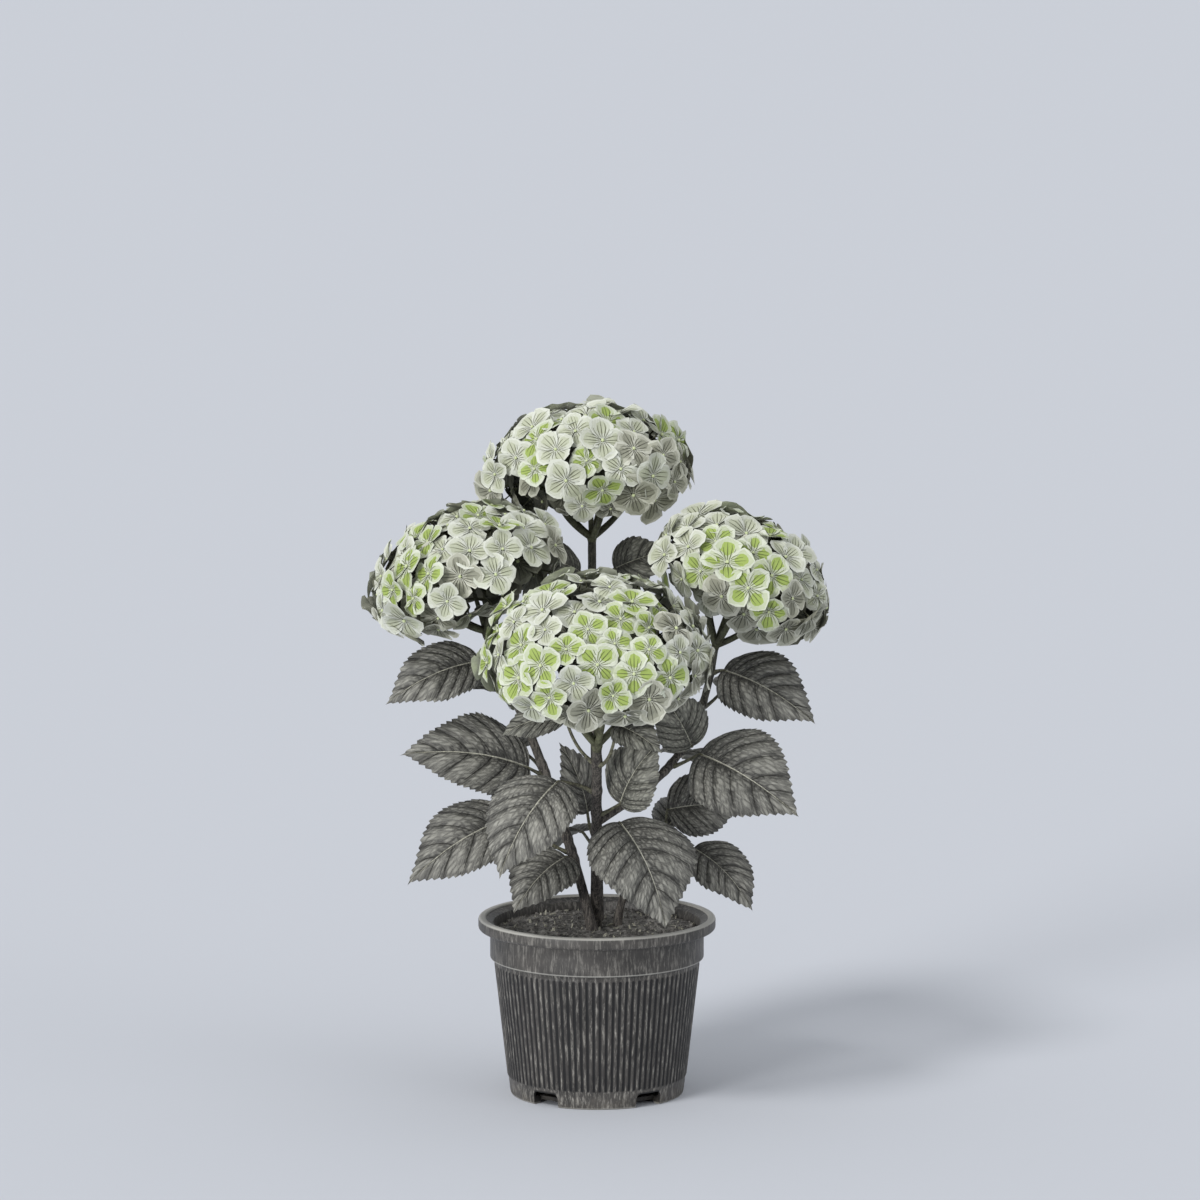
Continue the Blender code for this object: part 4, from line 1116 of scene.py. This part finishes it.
def make_sepal(work, rng, turn, level, heights):
    """Adds one sepal to a floret of unit radius: a closed sheet in rings, tinted from edge to heart."""
    band = work.faces.layers.int["band"]
    sepal_map = work.loops.layers.uv["sepal"]
    reach, breadth = rng.uniform(0.90, 1.04), rng.uniform(0.49, 0.57)
    cup, roll = rng.uniform(0.03, 0.14), rng.uniform(0.04, 0.24)
    twist, phase = rng.uniform(-0.15, 0.15), rng.uniform(0, math.tau)
    blush, lobe, point = rng.uniform(0.80, 1.18), rng.uniform(0.0, 0.05), rng.uniform(0.03, 0.15)
    turned_to = Matrix.Rotation(turn, 4, "Z")

    def corner(v, u, under):
        half = breadth * v**0.66 * (1 - v)**0.44 / (0.60**0.66 * 0.40**0.44)
        x = SEPAL_CLAW + (reach - SEPAL_CLAW) * v + point * v**6 * (1 - abs(u)) - lobe * u * u * v * v
        z = level + heights * v**1.1 + cup * u * u * math.sin(math.pi * v) - roll * v**3
        z += 0.030 * math.sin(phase + 6 * v) * u + twist * u * half - 0.030 * (1 - abs(u))**2 * (1 - v * v)
        y = half * u * (1 + 0.05 * math.sin(phase + 11 * v))
        return work.verts.new(turned_to @ Vector((x, y, z - under * SEPAL_SHEET)))

    def toward_heart(v, share):
        return SEPAL_HEART + (v - SEPAL_HEART) * (SEPAL_SPINE + (1 - SEPAL_SPINE) * share)

    def ring(width, under):
        """Corners at this share of the half width, up one side of the sepal and down the other."""
        up = [(v, -1) for v in SEPAL_STATIONS]
        down = [(v, 1) for v in SEPAL_STATIONS[-2:0:-1]]
        places = []
        for k, (v, side) in enumerate(up + down):
            if width == 1:
                share = 1 - rng.uniform(0.03, 0.13) * (k % 2)
            else:
                share = min(width * blush * rng.uniform(0.80, 1.22), 0.90)
            oval = math.sin(math.pi * v)**(1 - width) if 0 < v < 1 else 0
            places.append((toward_heart(v, share), side * share * oval))
        return [(corner(v, u, under), (u, v)) for v, u in places]

    def tinted_face(corners, tint):
        face = work.faces.new([vert for vert, _ in corners])
        face[band] = tint
        for loop, (_, place) in zip(face.loops, corners):
            loop[sepal_map].uv = place

    rim = ring(1.0, 0)
    for rings, under in ((SEPAL_RINGS, 0), (SEPAL_BACK, 1)):
        outer = rim
        for (width, tint), (inner_width, _) in zip(rings, rings[1:] + ((0.0, 0),)):
            if inner_width:
                inner = ring(inner_width, under)
            else:
                spine = [toward_heart(v, 0) for v in SEPAL_STATIONS]
                spine = [(corner(v, 0, under), (0, v)) for v in spine]
                inner = spine + spine[-2:0:-1]
            for k in range(len(outer)):
                after = (k + 1) % len(outer)
                tinted_face([outer[k], outer[after], inner[after], inner[k]], tint)
            outer = inner
    for side, last in SEPAL_VEINS:
        side, last = side * rng.uniform(0.85, 1.1), last * rng.uniform(0.78, 1.08)
        before = None
        for step in range(4):
            v = 0.07 + (last - 0.07) * step / 3
            spread = VEIN_HALF * (1 - 0.28 * step)
            pair = [(corner(v, u, -VEIN_RISE), (u, v)) for u in (side - spread, side + spread)]
            if before:
                tinted_face([before[1], before[0], pair[0], pair[1]], VEIN_TINT)
            before = pair


def floret_form(seed):
    """A floret of unit radius that faces +Z: four sepals, now and then five, and its eye."""
    rng = random.Random(seed)
    mesh = bpy.data.meshes.new(f"form_{seed}")
    with reworked(mesh) as work:
        band = work.faces.layers.int.new("band")
        work.loops.layers.uv.new("sepal")
        count = 5 if seed == FIVE_SEPALLED else 4
        lift = rng.uniform(-0.06, 0.26)
        for sepal in range(count):
            turn = math.tau * sepal / count + rng.uniform(-0.10, 0.10)
            make_sepal(work, rng, turn, SEPAL_OVERLAP * (sepal % 2), lift + rng.uniform(-0.06, 0.06))
        sepal_faces = len(work.faces)
        eye = bmesh.ops.create_icosphere(work, subdivisions=1, radius=EYE_RADIUS)
        for vertex in eye["verts"]:
            vertex.co.z = vertex.co.z * 0.8 + EYE_LEVEL
        bmesh.ops.recalc_face_normals(work, faces=[face for face in work.faces if face[band] != VEIN_TINT])
        work.faces.ensure_lookup_table()
        for face in work.faces[sepal_faces:]:
            face[band] = EYE_BAND
        for face in work.faces:
            face.smooth = True
    return bpy.data.objects.new(f"form_{seed}", mesh)


def dome_depth(angle):
    """Height of the upper dome or of the underside, of the radius, at this angle from the top."""
    return HEAD_TOP if angle < math.pi / 2 else HEAD_UNDER


def dome_angles(count):
    """Angles from the top of a dome that share its surface out evenly among the florets."""
    steps = 400
    angles = [LAST_FLORET * (k + 0.5) / steps for k in range(steps)]
    areas = [math.sin(a) * math.hypot(math.cos(a), dome_depth(a) * math.sin(a)) for a in angles]
    share, found = 0.0, []
    for angle, area in zip(angles, areas):
        share += area / sum(areas)
        while len(found) < count and share > (len(found) + 0.5) / count:
            found.append(angle)
    return found


def dome_points(head, count, layer=1.0):
    """Even spiral of places over the dome and round its underside, with the way each faces."""
    turn = math.pi * (3 - math.sqrt(5))
    frame_of_head = head.frame()
    for index, angle in enumerate(dome_angles(count)):
        x = math.sin(angle) * math.cos(index * turn)
        y = math.sin(angle) * math.sin(index * turn)
        depth = dome_depth(angle)
        place = Vector((x, y, math.cos(angle) * depth)) * head.radius * layer
        facing = Vector((x, y, math.cos(angle)))
        yield frame_of_head @ place, (frame_of_head.to_3x3() @ facing).normalized()


def clear_of_others(name, point, outward, radius):
    """True if a floret here keeps out of the other heads and off the canes."""
    across = outward.orthogonal().normalized() * radius
    other_way = outward.cross(across)
    reach = [point + across, point - across, point + other_way, point - other_way]
    for other, head in HEADS.items():
        if other != name and min(head.level(spot) for spot in reach) < HEAD_ROOM:
            return False
    return all((limb.at(t / 40) - point).length >= radius * 0.8 for limb in limbs.values() for t in range(41))


def kind_of(outward, fresh, rng, inner):
    """Lime and cream florets where they face the key light; sage and dusky ones below and beyond, partly
    duller florets and partly painted shade. Inner ones get darker tints still: painted shade inside the head.
    """
    light = outward.dot(SUNWARD) + rng.gauss(0, 0.20)
    chance = rng.random()
    # Inner florets take darker tints: painted shade inside the head.
    if inner and light > LIT:
        limits = ((0.60, "sage"), (1, "dusky"))
    elif inner:
        limits = ((0.35, "dusky"), (1, "deep"))
    elif light > LIT:
        limits = ((fresh, "lime"), (1, "cream"))
    elif light > HALF_LIT:
        limits = ((fresh * 0.4, "lime"), (0.74, "cream"), (1, "sage"))
    elif light > SHADED:
        limits = ((0.22, "cream"), (0.78, "sage"), (1, "dusky"))
    else:
        limits = ((0.45, "sage"), (1, "dusky"))
    return KINDS.index(next(kind for limit, kind in limits if chance < limit))


def plan_florets(name, head):
    """Every floret of a head: place, facing, spin, size, kind and form."""
    rng = random.Random(head.seed)
    share = (head.radius / TYPICAL_HEAD)**2
    outer = list(dome_points(head, round(FLORETS * share)))
    inner = list(dome_points(head, round(INNER_FLORETS * share), INNER_LAYER))
    plan = []
    for index, (point, outward) in enumerate(outer + inner):
        radius = FLORET_RADIUS * rng.uniform(*FLORET_SIZES)
        tilt = Vector([rng.gauss(0, FLORET_TILT) for _ in range(3)])
        sink = rng.uniform(*FLORET_SINK)
        spin, form = rng.uniform(0, math.tau), rng.randrange(FORMS)
        kind = kind_of(outward, FRESH[name], rng, index >= len(outer))
        if clear_of_others(name, point, outward, radius):
            facing = (outward + tilt).normalized()
            plan.append((point - outward * radius * sink, facing, spin, radius, kind, form))
    return plan


def floret_tree(forms, looks):
    """Sets a floret on every point, turned, sized and tinted by what the point carries."""
    tree = Shape("florets", forms=forms)
    facing = tree.add("FunctionNodeAlignRotationToVector", {"axis": "Z"},
                      {"Vector": tree.named("facing", "FLOAT_VECTOR")})
    spin = tree.add("FunctionNodeAxisAngleToRotation", {}, {"Axis": (0, 0, 1), "Angle": tree.named("spin")})
    turn = tree.add("FunctionNodeRotateRotation", {"rotation_space": "LOCAL"}, {0: facing, 1: spin})
    blooms = tree.chosen(tree.geometry, "forms", turn, Scale=tree.named("size"),
                         Instance_Index=tree.named("form", "INT"))
    tint = tree.named("kind", "INT") * 8 + tree.named("band", "INT")
    tree.finish(blooms, *[(look, tree.maths("COMPARE", tint, code, 0.5)) for code, look in looks.items()])
    return tree


def points_mesh(name, plan):
    """Loose points that carry a plan's values as attributes."""
    mesh = plain_mesh(name, [item[0] for item in plan], [])
    columns = (("facing", "FLOAT_VECTOR", "vector"), ("spin", "FLOAT", "value"), ("size", "FLOAT", "value"),
               ("kind", "INT", "value"), ("form", "INT", "value"))
    for place, (title, kind, field) in enumerate(columns, 1):
        layer = mesh.attributes.new(title, kind, "POINT")
        values = np.array([item[place] for item in plan], np.int32 if kind == "INT" else np.float32)
        layer.data.foreach_set(field, values.ravel())
    return mesh


def twig(start, middle, end, radii, steps):
    """A bent twig from start to end as (point, radius)."""
    first, last = radii
    return [(spot, first + (last - first) * t) for t, spot in bend(start, middle, end, steps)]


def stalk_paths(name, head, plan):
    """The stem, its fan of rays, their branches, and a hair-thin stalk to each floret."""
    rng = random.Random(head.seed)
    frame_of_head = head.frame()
    way, foot, stem = head.stem_way(), head.foot(), limbs[name].tip_radius
    fork = foot + way * FORK_HEIGHT
    thick = [[(foot + way * (FORK_HEIGHT * step), stem * width) for step, width in FORK_SWELL]]
    ends = []
    for ray in range(RAYS):
        angle = math.tau * (ray + rng.uniform(-0.15, 0.15)) / RAYS
        spread = Vector((math.cos(angle), math.sin(angle), 0)) * head.radius * RAY_SPREAD
        end = frame_of_head @ (spread + Vector((0, 0, -HEAD_UNDER * RAY_END * head.radius)))
        root = fork - way * 0.002
        halfway = root.lerp(end, 0.5)
        bowed = halfway + (frame_of_head.to_3x3() @ spread) * 0.12
        thick.append(twig(root, bowed * 2 - halfway, end, RAY_RADII, 14))
        ends.append(end)
    crown = frame_of_head @ Vector((0, 0, -HEAD_UNDER * CROWN_END * head.radius))
    thick.append(twig(fork, fork.lerp(crown, 0.5), crown, CROWN_RADII, 12))
    ends.append(crown)

    hubs = []
    for spot, _ in dome_points(head, HUBS, HUB_LEVEL):
        root = min(ends, key=lambda end: (end - spot).length)
        middle = root.lerp(spot, 0.5) + way * 0.004
        thick.append(twig(root - (middle - root) * 0.05, middle, spot, BRANCH_RADII, 8))
        hubs.append(spot)
    thin = []
    for place, facing, *_ in plan:
        root = min(hubs, key=lambda hub: (hub - place).length)
        middle = place - facing * (place - root).length * 0.45
        hair = twig(root, middle, place - facing * 0.0002, HAIR_RADII, 7)
        thin.append(hair[:-1] + [(hair[-1][0], HAIR_TIP)])
    return thick, thin


def stalk_look():
    """Young wood of the head's stalks: brown-green in fine streaks and clouds, lightly ridged."""
    look = Look("head_stalk", (0.08, 0.08, 0.05), specular_ior_level=0.3)
    place = look.place()
    streak = look.noise(place, 480, 3, 0.6)
    cloud = look.noise(place, 90, 2)
    tone = look.step(streak * 0.6 + cloud * 0.5, 0.35, 0.75)
    colour = look.mix(tone, (0.045, 0.043, 0.028), (0.150, 0.158, 0.092))
    return look.finish(0.55 + 0.25 * streak, look.bump(streak, 0.00025), colour)


green_wood = stalk_look()
eye_look = sepal_look("floret_eye", (0.560, 0.620, 0.360))
tints = {kind * 8 + band: sepal_look(f"sepal_{title}_{band}", colour)
         for kind, title in enumerate(KINDS) for band, colour in enumerate(BANDS[title])}
tints |= {kind * 8 + EYE_BAND: eye_look for kind in range(len(KINDS))}
florets = floret_tree(family("forms", [floret_form(seed) for seed in range(FORMS)]), tints)
for name, head in HEADS.items():
    plan = plan_florets(name, head)
    bloom = florets.run(points_mesh(name, plan))
    finished("florets_" + name, bloom, "head_" + name, sharp=60)
    thick, thin = stalk_paths(name, head, plan)
    rays = stalks.run(lines(name, thick), sides=12, relief=0.00015, skin=green_wood)
    hairs = stalks.run(lines(name, thin), sides=6, relief=0.0, skin=green_wood)
    with reworked(rays) as work:
        work.from_mesh(hairs)
    finished("stalks_" + name, rays, "head_" + name, sharp=60)

# ------------------------------------------------------------------ floor, light and camera
# Not part of the plant: a pale floor under even studio light, with a soft key from the upper left
# front, a low lamp from the left that draws the pot's ribs out, and a weak fill from the right.
FLOOR_SIZE = 160.0
FLOOR_GREY = (0.611, 0.628, 0.669)
STUDIO = (0.93, 0.96, 1.0)
STUDIO_LIGHT = 0.64
CAMERA_DISTANCE = 5.5
CAMERA_RISE = math.radians(8.2)
AIM = Vector((0.0027, 0.0, 0.445))
METRES_ACROSS = 1.0644      # width of the view at the aim
SENSOR = 36.0
LAMPS = {                   # strength, turn from the front to the left, rise, softness: in degrees
    "key": (1.0, 40, 52, 14),
    "side": (1.7, 36, 10, 16),
    "fill": (0.30, -58, 22, 40),
}

corners = [(x * FLOOR_SIZE / 2, y * FLOOR_SIZE / 2, 0) for x, y in ((-1, -1), (1, -1), (1, 1), (-1, 1))]
floor = plain_mesh("floor", corners, [(0, 1, 2, 3)])
floor.materials.append(Look("floor", FLOOR_GREY, roughness=0.9, specular_ior_level=0.0).material)
placed("floor", floor)

world = bpy.data.worlds.new("studio")
world.use_nodes = True
background = world.node_tree.nodes["Background"]
background.inputs["Color"].default_value = (*STUDIO, 1)
background.inputs["Strength"].default_value = STUDIO_LIGHT
bpy.context.scene.world = world
bpy.context.scene.view_settings.view_transform = "Standard"

for name, (strength, left, rise, softness) in LAMPS.items():
    lamp = bpy.data.lights.new(name, "SUN")
    lamp.energy = strength
    lamp.angle = math.radians(softness)
    toward = compass(-90 - left, rise)
    placed(name, lamp).rotation_euler = toward.to_track_quat("Z", "Y").to_euler()

lens = bpy.data.cameras.new("camera")
lens.sensor_width = SENSOR
lens.lens = SENSOR * CAMERA_DISTANCE / METRES_ACROSS
lens.clip_end = FLOOR_SIZE + 40
camera = placed("camera", lens)
back = Vector((0, -math.cos(CAMERA_RISE), math.sin(CAMERA_RISE)))
camera.location = AIM + back * CAMERA_DISTANCE
camera.rotation_euler = back.to_track_quat("Z", "Y").to_euler()
bpy.context.scene.camera = camera
